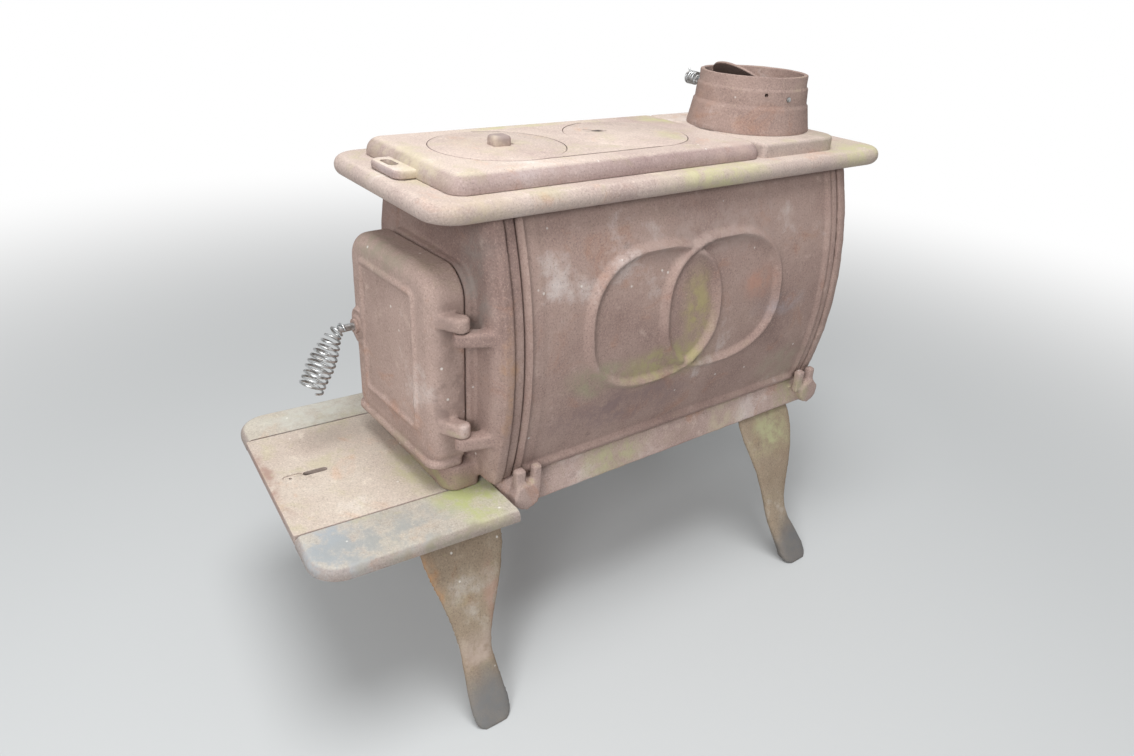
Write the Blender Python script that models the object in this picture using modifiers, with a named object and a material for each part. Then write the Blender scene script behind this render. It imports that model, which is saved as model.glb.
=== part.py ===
"""Cast-iron box stove on four cabriole legs, rusted, with its top, door, slide and damper free."""
import math

import bmesh
import bpy
from mathutils import Matrix, Vector

# Metres, +Z up. The door and hearth face -Y, the long sides face +X and -X.
GAP = 0.0003            # between pieces that touch

# heights
TOP_HIGH = 0.602        # upper face of the top plate
TOP_EDGE = 0.022        # its rolled edge
TOP_WEB = 0.008         # its thickness inside the edge
SWING_HIGH = 0.6217     # cooking surface
PAD_HIGH = 0.619        # pad under the flue collar
BODY_LOW = 0.268        # upper face of the bottom plate
SKIRT_LOW = 0.229       # lower edge of the bottom plate's skirt
HEARTH_HIGH = 0.2595
HEARTH_LOW = 0.2457
LEG_HIGH = 0.236

# top plate
TOP_WIDTH = 0.269
TOP_LENGTH = 0.700
TOP_CORNER = 0.038
RECESS_INSET = 0.0115
PAD_HALF = 0.110
PAD_BACK = 0.268
PAD_CORNER = 0.030
FLUE_HOLE = 0.063

# swing top, lids and key plate
SWING_HALF = 0.1095
SWING_FRONT = -0.3145
SWING_BACK = 0.118
SWING_CORNER = 0.0192
SWING_SHOULDER = 0.016
SWING_WEB = 0.009       # its thickness between the outer rim and the wall round the lids
SWING_RIM = 0.013
SWING_RIM_IN = 0.006
LID_RADIUS = 0.0772
LID_PLAY = 0.0006
LID_THICK = 0.0072
LID_LEDGE = 0.0065
FRONT_LID_Y = -0.200
REAR_LID_Y = -0.016
PIVOT_RADIUS = 0.006
TAB_REACH = 0.022

# flue collar and damper
FLUE_Y = 0.202
COLLAR_HIGH = 0.689
COLLAR_RIM = 0.0713
COLLAR_FOOT = 0.0825
COLLAR_BORE = 0.0655
SHAFT_Z = 0.663
SHAFT_RADIUS = 0.003
SHAFT_TURN = math.radians(-8.0)
GRIP_OUT = 0.042        # from the collar's foot to the wound grip
DAMPER_TILT = math.radians(36.5)
DAMPER_RADIUS = 0.0620
DAMPER_THICK = 0.003

# bowed body
BOW_MID = 0.147         # half width at the widest height
BOW_DEPTH = 0.027
BOW_Z = 0.415
BOW_REACH = 0.160
WALL = 0.007
FRONT_JOINT = -0.266    # side edge of the front casting
BACK_JOINT = 0.262
END_DEPTH = 0.022
END_ROUND = 0.014
FRONT_STRIP = 0.016
BACK_STRIP = 0.013
STRIP_THICK = 0.010
FIELD_SINK = 0.003      # the panel's field lies this far inside its beads
PANEL_THICK = 0.006
FRONT_BEAD = 0.0085
BACK_BEAD = 0.012
HEM_HIGH = 0.013
HEM_OUT = 0.002

# rings on the sides
RING_RADIUS = 0.0055
RING_HALF = 0.099
RING_TALL = 0.083
RING_Z = 0.440
RING_YS = (-0.066, 0.046)

# door, its opening and its hinge
DOOR_HALF = 0.102       # hinge side
DOOR_LEFT = -0.090      # latch side
DOOR_LOW = 0.2935
DOOR_HIGH = 0.525
DOOR_BACK = -0.2990
DOOR_DEPTH = 0.041
DOOR_CORNER = 0.034
DOOR_ROUND = 0.016
DOOR_WALL = 0.006
DOOR_AJAR = math.radians(2.4)
OPENING_HALF = 0.088
DOOR_SEAT = 0.0055      # casting under the door's edge on the latch side
OPENING_LOW = 0.304
OPENING_HIGH = 0.511
HINGE_X = 0.117
HINGE_Y = -0.313
HINGE_RADIUS = 0.009
PIN_RADIUS = 0.004
ARM_THICK = 0.016
LUG_THICK = 0.016
ARM_LOWS = (0.3250, 0.4500)
FRAME_HALF = 0.068
FRAME_LEFT = -0.060
FRAME_LOW = 0.331
FRAME_HIGH = 0.498
FRAME_RIB = 0.0045
FRAME_RISE = 0.002
SILL_FRONT = -0.327
SILL_HALF = 0.104
SILL_HIGH = 0.2925

# latch
LATCH_X = -0.072
LATCH_Z = 0.409
ROD_RADIUS = 0.0045
ROD_OUT = 0.026
ROD_IN = 0.039
TONGUE_LONG = 0.028
TONGUE_WIDE = 0.008
TONGUE_THICK = 0.005
COIL_TURNS = 12
COIL_LONG = 0.085
COIL_LEAN = math.radians(29.0)
COIL_WIRE = 0.0014

# bottom plate
BOTTOM_TOP_HALF = 0.123
BOTTOM_HALF = 0.131
BOTTOM_FRONT = -0.270
BOTTOM_BACK = 0.284
BOTTOM_WEB = 0.008
SKIRT_WALL = 0.006
EAR_RADIUS = 0.018
EAR_OUT = 0.146
EAR_YS = (-0.243, 0.264)
TONGUE_HALF = 0.140
TONGUE_FRONT = -0.388
TONGUE_HIGH = 0.2452

# hearth and draft slide
HEARTH_HALF = 0.1745
HEARTH_FRONT = -0.491
HEARTH_CORNER = 0.036
HEARTH_BACK = -0.2725
HEARTH_TURN = math.radians(-3.6)
SLIDE_LEFT = -0.113
SLIDE_RIGHT = 0.100
SLOT_X = -0.010
SLOT_IN = 0.0555          # from the hearth's front to the slot's middle
SLOT_REACH = 0.0102
WING_WALL = 0.010
WING_FRONT = 0.014
SLIDE_BACK = -0.294
SLIDE_THICK = 0.0072
LIP_THICK = 0.006
AIR_DEEP = 0.022        # two air slots under the slide's back end
AIR_LEFT = -0.072
AIR_RIGHT = 0.036
AIR_BAR = 0.012         # the bar between them

# legs
FRONT_LEG_Y = -0.3225
REAR_LEG_Y = 0.1935
ANKLE_Z = 0.090
LEG_TOP_X = 0.124
TOE_X = 0.2225
BOLT_RADIUS = 0.004
BOLT_X = 0.102

RUST = (0.30, 0.215, 0.185, 1.0)
RUST_DARK = (0.22, 0.16, 0.14, 1.0)
RUST_PALE = (0.42, 0.32, 0.28, 1.0)
MOSSY = (0.36, 0.33, 0.22, 1.0)
ZINC = (0.55, 0.57, 0.58, 1.0)

# the box is centred on the origin, between the hearth's foremost point and the top plate's back
FRONT_REACH = (-HEARTH_FRONT + HEARTH_BACK - HEARTH_CORNER) * math.cos(HEARTH_TURN) - HEARTH_BACK
FRONT_REACH += HEARTH_CORNER + (HEARTH_HALF - HEARTH_CORNER) * math.sin(-HEARTH_TURN)
STOVE_Y = (FRONT_REACH - TOP_LENGTH / 2) / 2

for old in list(bpy.data.objects):
    bpy.data.objects.remove(old, do_unlink=True)

PARTS = bpy.data.collections.new("rusty_box_stove")
CUTTERS = bpy.data.collections.new("cutters")
for shelf in (PARTS, CUTTERS):
    bpy.context.scene.collection.children.link(shelf)

stove = bpy.data.objects.new("stove", None)
stove.location = (0, STOVE_Y, 0)
PARTS.objects.link(stove)


def paint(obj, color, rough=0.85, metal=0.3):
    mat = bpy.data.materials.new(obj.name)
    mat.use_nodes = True
    shader = mat.node_tree.nodes["Principled BSDF"]
    shader.inputs["Base Color"].default_value = color
    shader.inputs["Roughness"].default_value = rough
    shader.inputs["Metallic"].default_value = metal
    obj.data.materials.clear()
    obj.data.materials.append(mat)


def place(obj, parent=stove):
    """Give a finished piece its place in the stove's tree."""
    obj.parent = parent
    return obj


def as_cutter(obj):
    for shelf in list(obj.users_collection):
        shelf.objects.unlink(obj)
    CUTTERS.objects.link(obj)
    obj.hide_render = True
    obj.display_type = "WIRE"
    return place(obj)


def boolean(target, tool, operation):
    as_cutter(tool)
    mod = target.modifiers.new(tool.name, "BOOLEAN")
    mod.operation = operation
    mod.solver = "EXACT"
    mod.object = tool


def cut(target, *tools):
    for tool in tools:
        boolean(target, tool, "DIFFERENCE")


def join(target, *tools):
    for tool in tools:
        boolean(target, tool, "UNION")


def from_bmesh(name, bm):
    mesh = bpy.data.meshes.new(name)
    bm.to_mesh(mesh)
    bm.free()
    mesh.shade_smooth()
    mesh.set_sharp_from_angle(angle=math.radians(35))
    obj = bpy.data.objects.new(name, mesh)
    PARTS.objects.link(obj)
    return obj


def baked(obj):
    """The same object as a plain mesh, for pieces that start as curves."""
    bpy.context.view_layer.update()
    graph = bpy.context.evaluated_depsgraph_get()
    mesh = bpy.data.meshes.new_from_object(obj.evaluated_get(graph))
    bm = bmesh.new()
    bm.from_mesh(mesh)
    bmesh.ops.remove_doubles(bm, verts=bm.verts, dist=0.00002)
    bmesh.ops.dissolve_limit(bm, angle_limit=math.radians(0.4), verts=bm.verts, edges=bm.edges)
    bmesh.ops.recalc_face_normals(bm, faces=bm.faces)
    name, world = obj.name, obj.matrix_world.copy()
    bpy.data.objects.remove(obj, do_unlink=True)
    solid = from_bmesh(name, bm)
    solid.matrix_world = world
    return solid


def slab(name, outline, low, high, round_low=0.0, round_high=0.0, steps=3):
    """A flat outline pulled up from low to high, its two rims rounded."""
    curve = bpy.data.curves.new(name, "CURVE")
    curve.dimensions = "2D"
    curve.fill_mode = "BOTH"
    curve.extrude = (high - low) / 2
    spline = curve.splines.new("POLY")
    spline.points.add(len(outline) - 1)
    for point, (x, y) in zip(spline.points, outline):
        point.co = (x, y, 0, 1)
    spline.use_cyclic_u = True
    drawn = bpy.data.objects.new(name, curve)
    PARTS.objects.link(drawn)
    solid = baked(drawn)
    bm = bmesh.new()
    bm.from_mesh(solid.data)
    bmesh.ops.translate(bm, vec=(0, 0, (high + low) / 2), verts=bm.verts)
    for level, radius in ((low, round_low), (high, round_high)):
        rim = [e for e in bm.edges if all(abs(v.co.z - level) < 1e-6 for v in e.verts)]
        if radius:
            bmesh.ops.bevel(bm, geom=rim, offset=radius, segments=steps, profile=0.5, affect="EDGES")
    bmesh.ops.recalc_face_normals(bm, faces=bm.faces)
    bm.to_mesh(solid.data)
    bm.free()
    solid.data.shade_smooth()
    solid.data.set_sharp_from_angle(angle=math.radians(35))
    return solid


def upright(solid):
    """Stand a slab up: its outline lies in X and Z and its height runs towards -Y."""
    solid.data.transform(Matrix.Rotation(math.pi / 2, 4, "X"))
    return solid


def rounded(x0, x1, y0, y1, front, back=None, steps=6):
    """Outline of a rectangle with round corners, front ones at y0 and back ones at y1."""
    back = front if back is None else back
    points = []
    corners = ((x1, y1, -1, -1, back, 0), (x0, y1, 1, -1, back, 90),
               (x0, y0, 1, 1, front, 180), (x1, y0, -1, 1, front, 270))
    for cx, cy, sx, sy, radius, start in corners:
        for k in range(steps + 1):
            angle = math.radians(start + 90 * k / steps)
            points.append((cx + sx * radius + radius * math.cos(angle),
                           cy + sy * radius + radius * math.sin(angle)))
    return points


def ellipse(cx, cy, rx, ry, steps=32):
    turn = 2 * math.pi / steps
    return [(cx + rx * math.cos(turn * k), cy + ry * math.sin(turn * k)) for k in range(steps)]


def link_outline(x0, y0, x1, y1, radius, steps=8):
    """Outline of a straight link with round ends about two points."""
    heading = math.atan2(y1 - y0, x1 - x0)
    points = []
    for cx, cy, start in ((x1, y1, heading - math.pi / 2), (x0, y0, heading + math.pi / 2)):
        for k in range(steps + 1):
            angle = start + math.pi * k / steps
            points.append((cx + radius * math.cos(angle), cy + radius * math.sin(angle)))
    return points


def stadium(half, y0, y1, steps=16):
    """Outline with straight sides at +-half and half circles about y0 and y1."""
    return link_outline(0, y0, 0, y1, half, steps)


def rod(name, start, end, radius, sides=16):
    bm = bmesh.new()
    line = Vector(end) - Vector(start)
    bmesh.ops.create_cone(bm, cap_ends=True, segments=sides, radius1=radius, radius2=radius,
                          depth=line.length)
    turn = line.to_track_quat("Z", "Y").to_matrix().to_4x4()
    bm.transform(Matrix.Translation((Vector(start) + Vector(end)) / 2) @ turn)
    return from_bmesh(name, bm)


def box(name, low, high, bevel=0.0):
    bm = bmesh.new()
    bmesh.ops.create_cube(bm, size=1)
    size = Vector(high) - Vector(low)
    bm.transform(Matrix.Translation((Vector(low) + Vector(high)) / 2) @ Matrix.Diagonal(size).to_4x4())
    if bevel:
        bmesh.ops.bevel(bm, geom=bm.edges, offset=bevel, segments=2, profile=0.5, affect="EDGES")
    return from_bmesh(name, bm)


def turned(name, profile, x, y, steps=40):
    """A closed profile of (radius, height) pairs turned about an upright axis."""
    bm = bmesh.new()
    ring = [bm.verts.new((r, 0, z)) for r, z in profile]
    for a, b in zip(ring, ring[1:] + ring[:1]):
        if not (a.co.x < 1e-9 and b.co.x < 1e-9):
            bm.edges.new((a, b))
    obj = from_bmesh(name, bm)
    obj.location = (x, y, 0)
    screw = obj.modifiers.new("Turn", "SCREW")
    screw.axis = "Z"
    screw.steps = steps
    screw.render_steps = steps
    screw.use_merge_vertices = True
    screw.merge_threshold = 0.00005
    return obj


def loft(name, rings):
    """Skin between rings of equally many points, closed at both ends."""
    bm = bmesh.new()
    rows = [[bm.verts.new(p) for p in ring] for ring in rings]
    count = len(rows[0])
    for lower, upper in zip(rows, rows[1:]):
        for k in range(count):
            n = (k + 1) % count
            bm.faces.new((lower[k], lower[n], upper[n], upper[k]))
    bm.faces.new(rows[0][::-1])
    bm.faces.new(rows[-1])
    bmesh.ops.recalc_face_normals(bm, faces=bm.faces)
    return from_bmesh(name, bm)


def wire(name, points, radius, resolution=2, closed=False):
    curve = bpy.data.curves.new(name, "CURVE")
    curve.dimensions = "3D"
    curve.bevel_depth = radius
    curve.bevel_resolution = resolution
    curve.use_fill_caps = True
    spline = curve.splines.new("POLY")
    spline.points.add(len(points) - 1)
    for point, co in zip(spline.points, points):
        point.co = (*co, 1)
    spline.use_cyclic_u = closed
    obj = bpy.data.objects.new(name, curve)
    PARTS.objects.link(obj)
    return obj


def mirrored(obj, name):
    """A copy of a finished piece on the other long side."""
    bpy.context.view_layer.update()
    graph = bpy.context.evaluated_depsgraph_get()
    bm = bmesh.new()
    bm.from_mesh(bpy.data.meshes.new_from_object(obj.evaluated_get(graph)))
    bm.transform(Matrix.Diagonal((-1, 1, 1, 1)) @ obj.matrix_local)
    bmesh.ops.reverse_faces(bm, faces=bm.faces)
    return place(from_bmesh(name, bm))


def bow(z):
    """Half width of the bowed body at height z."""
    return BOW_MID - BOW_DEPTH * ((z - BOW_Z) / BOW_REACH) ** 2


def heights(low, high, steps=12):
    return [low + (high - low) * k / steps for k in range(steps + 1)]


def barrel(inset, low, high):
    """The body's outline across its length, drawn in by inset."""
    right = [(bow(z) - inset, z) for z in heights(low, high)]
    return right + [(-x, z) for x, z in reversed(right)]


def bowed_bar(name, y0, y1, low, high, inner, outer):
    """An upright bar that follows the bow, from inner to outer off the body line."""
    rows = heights(low, high, 12 if high - low > 0.1 else 2)
    line = [(bow(z) + outer, z) for z in rows] + [(bow(z) + inner, z) for z in reversed(rows)]
    return upright(slab(name, line, -y1, -y0))


# Top plate, one casting with the pad for the flue collar
TOP_LOW = TOP_HIGH - TOP_EDGE
TOP_UNDER = TOP_HIGH - TOP_WEB
half_top, half_length = TOP_WIDTH / 2, TOP_LENGTH / 2
top_line = rounded(-half_top, half_top, -half_length, half_length, TOP_CORNER)
top_plate = slab("top_plate", top_line, TOP_LOW, TOP_HIGH, TOP_EDGE * 0.47, TOP_EDGE * 0.47, 2)
pad_front = SWING_BACK + 0.0008
pad_line = rounded(-PAD_HALF, PAD_HALF, pad_front, PAD_BACK, 0.006, PAD_CORNER)
join(top_plate, slab("pad", pad_line, TOP_UNDER + 0.001, PAD_HIGH, 0, 0.004, 2))
recess_line = rounded(-half_top + RECESS_INSET, half_top - RECESS_INSET,
                      -half_length + RECESS_INSET, half_length - RECESS_INSET, TOP_CORNER - RECESS_INSET)
cut(top_plate, slab("top_recess", recess_line, TOP_LOW - 0.01, TOP_UNDER))
pad_well = rounded(-PAD_HALF + TOP_WEB, PAD_HALF - TOP_WEB, pad_front + TOP_WEB, PAD_BACK - TOP_WEB,
                   0.003, PAD_CORNER - TOP_WEB)
cut(top_plate, slab("pad_well", pad_well, TOP_LOW, PAD_HIGH - TOP_WEB))
fire_hole = stadium(LID_RADIUS - LID_LEDGE, FRONT_LID_Y, REAR_LID_Y)
cut(top_plate, slab("fire_hole", fire_hole, TOP_LOW, TOP_HIGH + 0.01))
cut(top_plate, rod("flue_hole", (0, FLUE_Y, TOP_LOW), (0, FLUE_Y, PAD_HIGH + 0.01), FLUE_HOLE, 40))
PIVOT_X = -SWING_HALF + SWING_CORNER
PIVOT_Y = SWING_BACK - SWING_CORNER
cut(top_plate, rod("pivot_hole", (PIVOT_X, PIVOT_Y, TOP_LOW), (PIVOT_X, PIVOT_Y, TOP_HIGH + 0.01),
                   PIVOT_RADIUS + GAP))
for k, y in enumerate((FRONT_JOINT + FRONT_STRIP / 2, BACK_JOINT - BACK_STRIP / 2)):
    for side in (-1, 1):
        lug_x = side * (bow(TOP_LOW - 0.008) + 0.0045)
        lug = box(f"top_lug_{k}_{side}", (lug_x - 0.0035, y - 0.006, TOP_LOW - 0.008),
                  (lug_x + 0.0035, y + 0.006, TOP_LOW + 0.010))
        join(top_plate, lug)
paint(place(top_plate), RUST_PALE)

# Swing top with its lift loop in front and its pivot pin under the far back corner
swing_line = rounded(-SWING_HALF, SWING_HALF, SWING_FRONT, SWING_BACK, SWING_CORNER)
swing_low = TOP_HIGH + GAP
swing_top = slab("swing_top", swing_line, swing_low, SWING_HIGH, 0, SWING_SHOULDER, 3)
tab_line = rounded(-0.040, 0.030, SWING_FRONT - TAB_REACH, SWING_FRONT + 0.012, 0.011)
join(swing_top, slab("lift_tab", tab_line, swing_low + 0.0005, swing_low + 0.0095, 0.002, 0.003, 2))
tab_hole = rounded(-0.026, 0.002, SWING_FRONT - TAB_REACH + 0.006, SWING_FRONT - 0.004, 0.0055)
cut(swing_top, slab("lift_hole", tab_hole, swing_low - 0.01, swing_low + 0.02))
seat = SWING_HIGH - 0.0005 - LID_THICK
cut(swing_top, slab("lid_seat", stadium(LID_RADIUS + LID_PLAY, FRONT_LID_Y, REAR_LID_Y), seat - GAP,
                    SWING_HIGH + 0.01))
cut(swing_top, slab("lid_hole", stadium(LID_RADIUS - LID_LEDGE, FRONT_LID_Y, REAR_LID_Y),
                    swing_low - 0.01, SWING_HIGH + 0.01))
swing_well = rounded(-SWING_HALF + SWING_RIM, SWING_HALF - SWING_RIM, SWING_FRONT + SWING_RIM,
                     SWING_BACK - SWING_RIM, SWING_CORNER / 2)
swing_hollow = slab("swing_hollow", swing_well, swing_low - 0.01, SWING_HIGH - SWING_WEB)
around = slab("hole_wall", stadium(LID_RADIUS + SWING_RIM_IN, FRONT_LID_Y, REAR_LID_Y), swing_low - 0.02,
              SWING_HIGH)
cut(swing_hollow, around)
pivot_boss = rod("pivot_boss", (PIVOT_X, PIVOT_Y, swing_low - 0.02), (PIVOT_X, PIVOT_Y, SWING_HIGH),
                 PIVOT_RADIUS * 2)
cut(swing_hollow, pivot_boss)
cut(swing_top, swing_hollow)
join(swing_top, rod("pivot_pin", (PIVOT_X, PIVOT_Y, TOP_UNDER - 0.006), (PIVOT_X, PIVOT_Y, swing_low + 0.004),
                    PIVOT_RADIUS))
swing_pivot = bpy.data.objects.new("swing_pivot", None)
swing_pivot.location = (PIVOT_X, PIVOT_Y, TOP_HIGH)
PARTS.objects.link(swing_pivot)
swing_pivot.parent = stove
paint(place(swing_top), RUST_PALE)

# Lids: the front one has a raised lifter pocket, the rear one a lifter slot
lid_high = seat + LID_THICK
for name, y in (("front_lid", FRONT_LID_Y), ("rear_lid", REAR_LID_Y)):
    r = LID_RADIUS
    section = [(0, lid_high), (r - 0.001, lid_high), (r, lid_high - 0.001), (r, seat), (0, seat)]
    lid = turned(name, section, 0, y, 40)
    if name == "front_lid":
        pocket = box("lifter_pocket", (-0.010, y - 0.009, lid_high - 0.003),
                     (0.010, y + 0.013, lid_high + 0.011), 0.003)
        join(lid, pocket)
        cut(lid, box("lifter_mouth", (-0.0045, y + 0.006, lid_high - 0.0015),
                     (0.0045, y + 0.02, lid_high + 0.006)))
    else:
        slot = slab("lifter_slot", link_outline(-0.036, y - 0.034, -0.024, y - 0.016, 0.003), seat + 0.0025,
                    lid_high + 0.01)
        cut(lid, slot)
    paint(place(lid), RUST_PALE)

# Key plate between the lids, with ledges that carry them
key_low = seat - 0.005
mid_y = (FRONT_LID_Y + REAR_LID_Y) / 2
key_half = LID_RADIUS
key_line = rounded(-key_half, key_half, FRONT_LID_Y, REAR_LID_Y, 0.0005, None, 1)
key_plate = slab("key_plate", key_line, seat, lid_high)
under_half = LID_RADIUS - LID_LEDGE - LID_PLAY
under_line = rounded(-under_half, under_half, FRONT_LID_Y, REAR_LID_Y, 0.0005, None, 1)
for k, y in enumerate((FRONT_LID_Y, REAR_LID_Y)):
    cut(key_plate, rod(f"key_arc_{k}", (0, y, seat - 0.01), (0, y, lid_high + 0.01), LID_RADIUS + LID_PLAY,
                       40))
key_ledge = slab("key_ledge", under_line, key_low, seat - GAP)
for k, y in enumerate((FRONT_LID_Y, REAR_LID_Y)):
    cut(key_ledge, rod(f"key_ledge_arc_{k}", (0, y, key_low - 0.01), (0, y, seat + 0.01),
                       LID_RADIUS - LID_LEDGE, 40))
key_neck = slab("key_neck", rounded(-0.05, 0.05, mid_y - 0.010, mid_y + 0.010, 0.002), key_low + 0.001,
                seat + 0.002)
join(key_plate, key_ledge, key_neck)
paint(place(key_plate), RUST_PALE)

# Flue collar, a cone with two shallow steps and small pipe-screw holes
foot = PAD_HIGH + GAP
step_z = foot + 0.032
ring_z = COLLAR_HIGH - 0.016
outer = [(COLLAR_RIM - 0.0015, COLLAR_HIGH), (COLLAR_RIM, COLLAR_HIGH - 0.0015), (COLLAR_RIM, ring_z + 0.001),
         (COLLAR_RIM + 0.0015, ring_z - 0.001), (COLLAR_RIM + 0.003, step_z + 0.002),
         (COLLAR_RIM + 0.0055, step_z - 0.002), (COLLAR_FOOT - 0.001, foot + 0.004), (COLLAR_FOOT, foot)]
inner = [(COLLAR_BORE, foot), (COLLAR_BORE, COLLAR_HIGH)]
flue_collar = turned("flue_collar", outer + inner, 0, FLUE_Y, 36)
along = Vector((math.cos(SHAFT_TURN), math.sin(SHAFT_TURN), 0))
centre = Vector((0, FLUE_Y, SHAFT_Z))
cut(flue_collar, rod("shaft_holes", centre - along * 0.1, centre + along * 0.1, SHAFT_RADIUS + GAP))
screw_dir = Vector((math.cos(math.radians(-32)), math.sin(math.radians(-32)), 0))
screw_mid = Vector((0, FLUE_Y, SHAFT_Z + 0.006))
cut(flue_collar, rod("screw_hole", screw_mid + screw_dir * 0.06, screw_mid + screw_dir * 0.1, 0.0021, 10))
paint(place(flue_collar), RUST)

# Damper: its plate and its shaft turn together
damper_pivot = bpy.data.objects.new("damper_pivot", None)
damper_pivot.location = centre
damper_pivot.rotation_euler = (0, 0, SHAFT_TURN)
PARTS.objects.link(damper_pivot)
damper_pivot.parent = stove
damper_plate = slab("damper_plate", ellipse(0, 0, DAMPER_RADIUS, DAMPER_RADIUS, 40), -DAMPER_THICK / 2,
                    DAMPER_THICK / 2)
join(damper_plate, rod("damper_hub", (-0.052, 0, 0), (0.052, 0, 0), SHAFT_RADIUS + 0.003, 12))
cut(damper_plate, rod("damper_bore", (-0.09, 0, 0), (0.09, 0, 0), SHAFT_RADIUS + GAP))
damper_plate.rotation_euler = (-DAMPER_TILT, 0, 0)
for tool in ("damper_hub", "damper_bore"):
    bpy.data.objects[tool].parent = damper_plate
paint(place(damper_plate, damper_pivot), RUST_DARK)
grip_start = -COLLAR_FOOT - GRIP_OUT
grip_turns = 5
shaft_points = [(COLLAR_RIM + 0.004, 0, 0), (0, 0, 0), (grip_start + 0.004, 0, 0)]
damper_shaft = baked(wire("damper_shaft", shaft_points, SHAFT_RADIUS, 2))
grip_points = []
for k in range(grip_turns * 8 + 1):
    angle = 2 * math.pi * k / 8
    radius = 0.0030 + 0.0050 * min(1, k / 8)
    grip_points.append((grip_start + 0.006 - 0.0052 * k / 8, radius * math.cos(angle),
                        radius * math.sin(angle)))
last = Vector(grip_points[-1])
grip_points += [tuple(last + Vector((-0.006, 0, 0.004))), tuple(last + Vector((-0.012, 0, 0.010)))]
join(damper_shaft, baked(wire("damper_grip", grip_points, 0.0013, 1)))
bpy.data.objects["damper_grip"].parent = damper_pivot
paint(damper_shaft, ZINC, 0.45, 0.9)
damper_shaft.parent = damper_pivot
bpy.data.objects["damper_grip"].parent = damper_shaft

# Front casting: bowed end plate, rolled rim round the fire opening, sill and hinge arms
body_low = BODY_LOW + GAP
body_high = TOP_UNDER - GAP
front_face = FRONT_JOINT - END_DEPTH
front_casting = upright(slab("front_casting", barrel(0, body_low, body_high), -FRONT_JOINT, -front_face,
                             0, END_ROUND))
hollow = barrel(WALL, body_low + WALL, body_high - WALL)
cut(front_casting, upright(slab("front_hollow", hollow, -FRONT_JOINT - 0.01, -front_face - WALL)))
rim_line = rounded(DOOR_LEFT - 0.001, DOOR_HALF + 0.001, DOOR_LOW - 0.003, DOOR_HIGH - 0.001, DOOR_CORNER)
rim_face = DOOR_BACK + GAP * 2
join(front_casting, upright(slab("door_rim", rim_line, -front_face - WALL + 0.001, -rim_face, 0, 0.004, 2)))
sill_line = rounded(-SILL_HALF, SILL_HALF, SILL_FRONT, front_face + 0.004, 0.020, 0.005)
sill = slab("sill", sill_line, HEARTH_HIGH + 0.0006, SILL_HIGH, 0, 0.003, 2)
join(front_casting, sill)
opening_line = rounded(DOOR_LEFT + DOOR_SEAT, OPENING_HALF, OPENING_LOW, OPENING_HIGH, 0.020)
cut(front_casting, upright(slab("fire_opening", opening_line, -FRONT_JOINT - 0.01, -rim_face + 0.01)))
for k, low in enumerate(ARM_LOWS):
    root = bow(low + ARM_THICK / 2) - 0.0125
    arm = slab(f"hinge_arm_{k}", link_outline(HINGE_X, HINGE_Y, root, FRONT_JOINT - 0.013, HINGE_RADIUS), low,
               low + ARM_THICK, 0.0015, 0.0015, 2)
    join(front_casting, arm)
    cut(front_casting, rod(f"hinge_hole_{k}", (HINGE_X, HINGE_Y, low - 0.01), (HINGE_X, HINGE_Y, low + 0.03),
                           PIN_RADIUS + GAP))
paint(place(front_casting), RUST)

# Back casting
back_face = BACK_JOINT + END_DEPTH
back_casting = upright(slab("back_casting", barrel(0, body_low, body_high), -back_face, -BACK_JOINT,
                            END_ROUND, 0))
cut(back_casting, upright(slab("back_hollow", hollow, -back_face + WALL, -BACK_JOINT + 0.01)))
paint(place(back_casting), RUST)

# Side panels with beads, hem and two interlocking rings, and the corner strips
panel_front = FRONT_JOINT + FRONT_STRIP + 2 * GAP
panel_back = BACK_JOINT - BACK_STRIP - 2 * GAP
right_side = bowed_bar("right_side", panel_front + 0.0004, panel_back - 0.0004, body_low, body_high,
                       -FIELD_SINK - PANEL_THICK, -FIELD_SINK)
bead_inner = -FIELD_SINK - PANEL_THICK + 0.001
bead_span = (body_low + 0.0002, body_high - 0.0002, bead_inner, 0)
join(right_side, bowed_bar("front_bead", panel_front, panel_front + FRONT_BEAD, *bead_span))
join(right_side, bowed_bar("back_bead", panel_back - BACK_BEAD, panel_back, *bead_span))
hem_inner = -FIELD_SINK - PANEL_THICK + 0.002
join(right_side, bowed_bar("hem", panel_front + FRONT_BEAD - 0.001, panel_back - BACK_BEAD + 0.001,
                           body_low + 0.0006, body_low + HEM_HIGH, hem_inner, HEM_OUT))
for k, ring_y in enumerate(RING_YS):
    loop = []
    for j in range(30):
        angle = 2 * math.pi * j / 30
        c, s = math.cos(angle), math.sin(angle)
        y = ring_y + RING_HALF * math.copysign(abs(c) ** 0.82, c)
        z = RING_Z + RING_TALL * math.copysign(abs(s) ** 0.82, s)
        loop.append((bow(z) - FIELD_SINK - 0.0012 - 0.0004 * k, y, z))
    join(right_side, baked(wire(f"ring_{k}", loop, RING_RADIUS, 1, True)))
paint(place(right_side), RUST)
paint(mirrored(right_side, "left_side"), RUST)
strips = (("front", FRONT_JOINT + GAP, FRONT_JOINT + FRONT_STRIP),
          ("back", BACK_JOINT - BACK_STRIP, BACK_JOINT - GAP))
for end, y0, y1 in strips:
    strip = bowed_bar(f"right_{end}_strip", y0, y1, body_low, body_high, -STRIP_THICK, -0.0008)
    paint(place(strip), RUST_DARK)
    paint(mirrored(strip, f"left_{end}_strip"), RUST_DARK)

# Bottom plate: web, flared skirt, corner ears, panel lugs and a tongue under the hearth
low_line = rounded(-BOTTOM_HALF, BOTTOM_HALF, BOTTOM_FRONT, BOTTOM_BACK, 0.010, None, 4)
flare = BOTTOM_HALF - BOTTOM_TOP_HALF


def drawn_in(line, amount):
    return [(x - math.copysign(amount, x), y - math.copysign(amount * 0.2, y)) for x, y in line]


def flared(name, line, low, high, amount):
    return loft(name, [[(x, y, low) for x, y in line], [(x, y, high) for x, y in drawn_in(line, amount)]])


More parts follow.
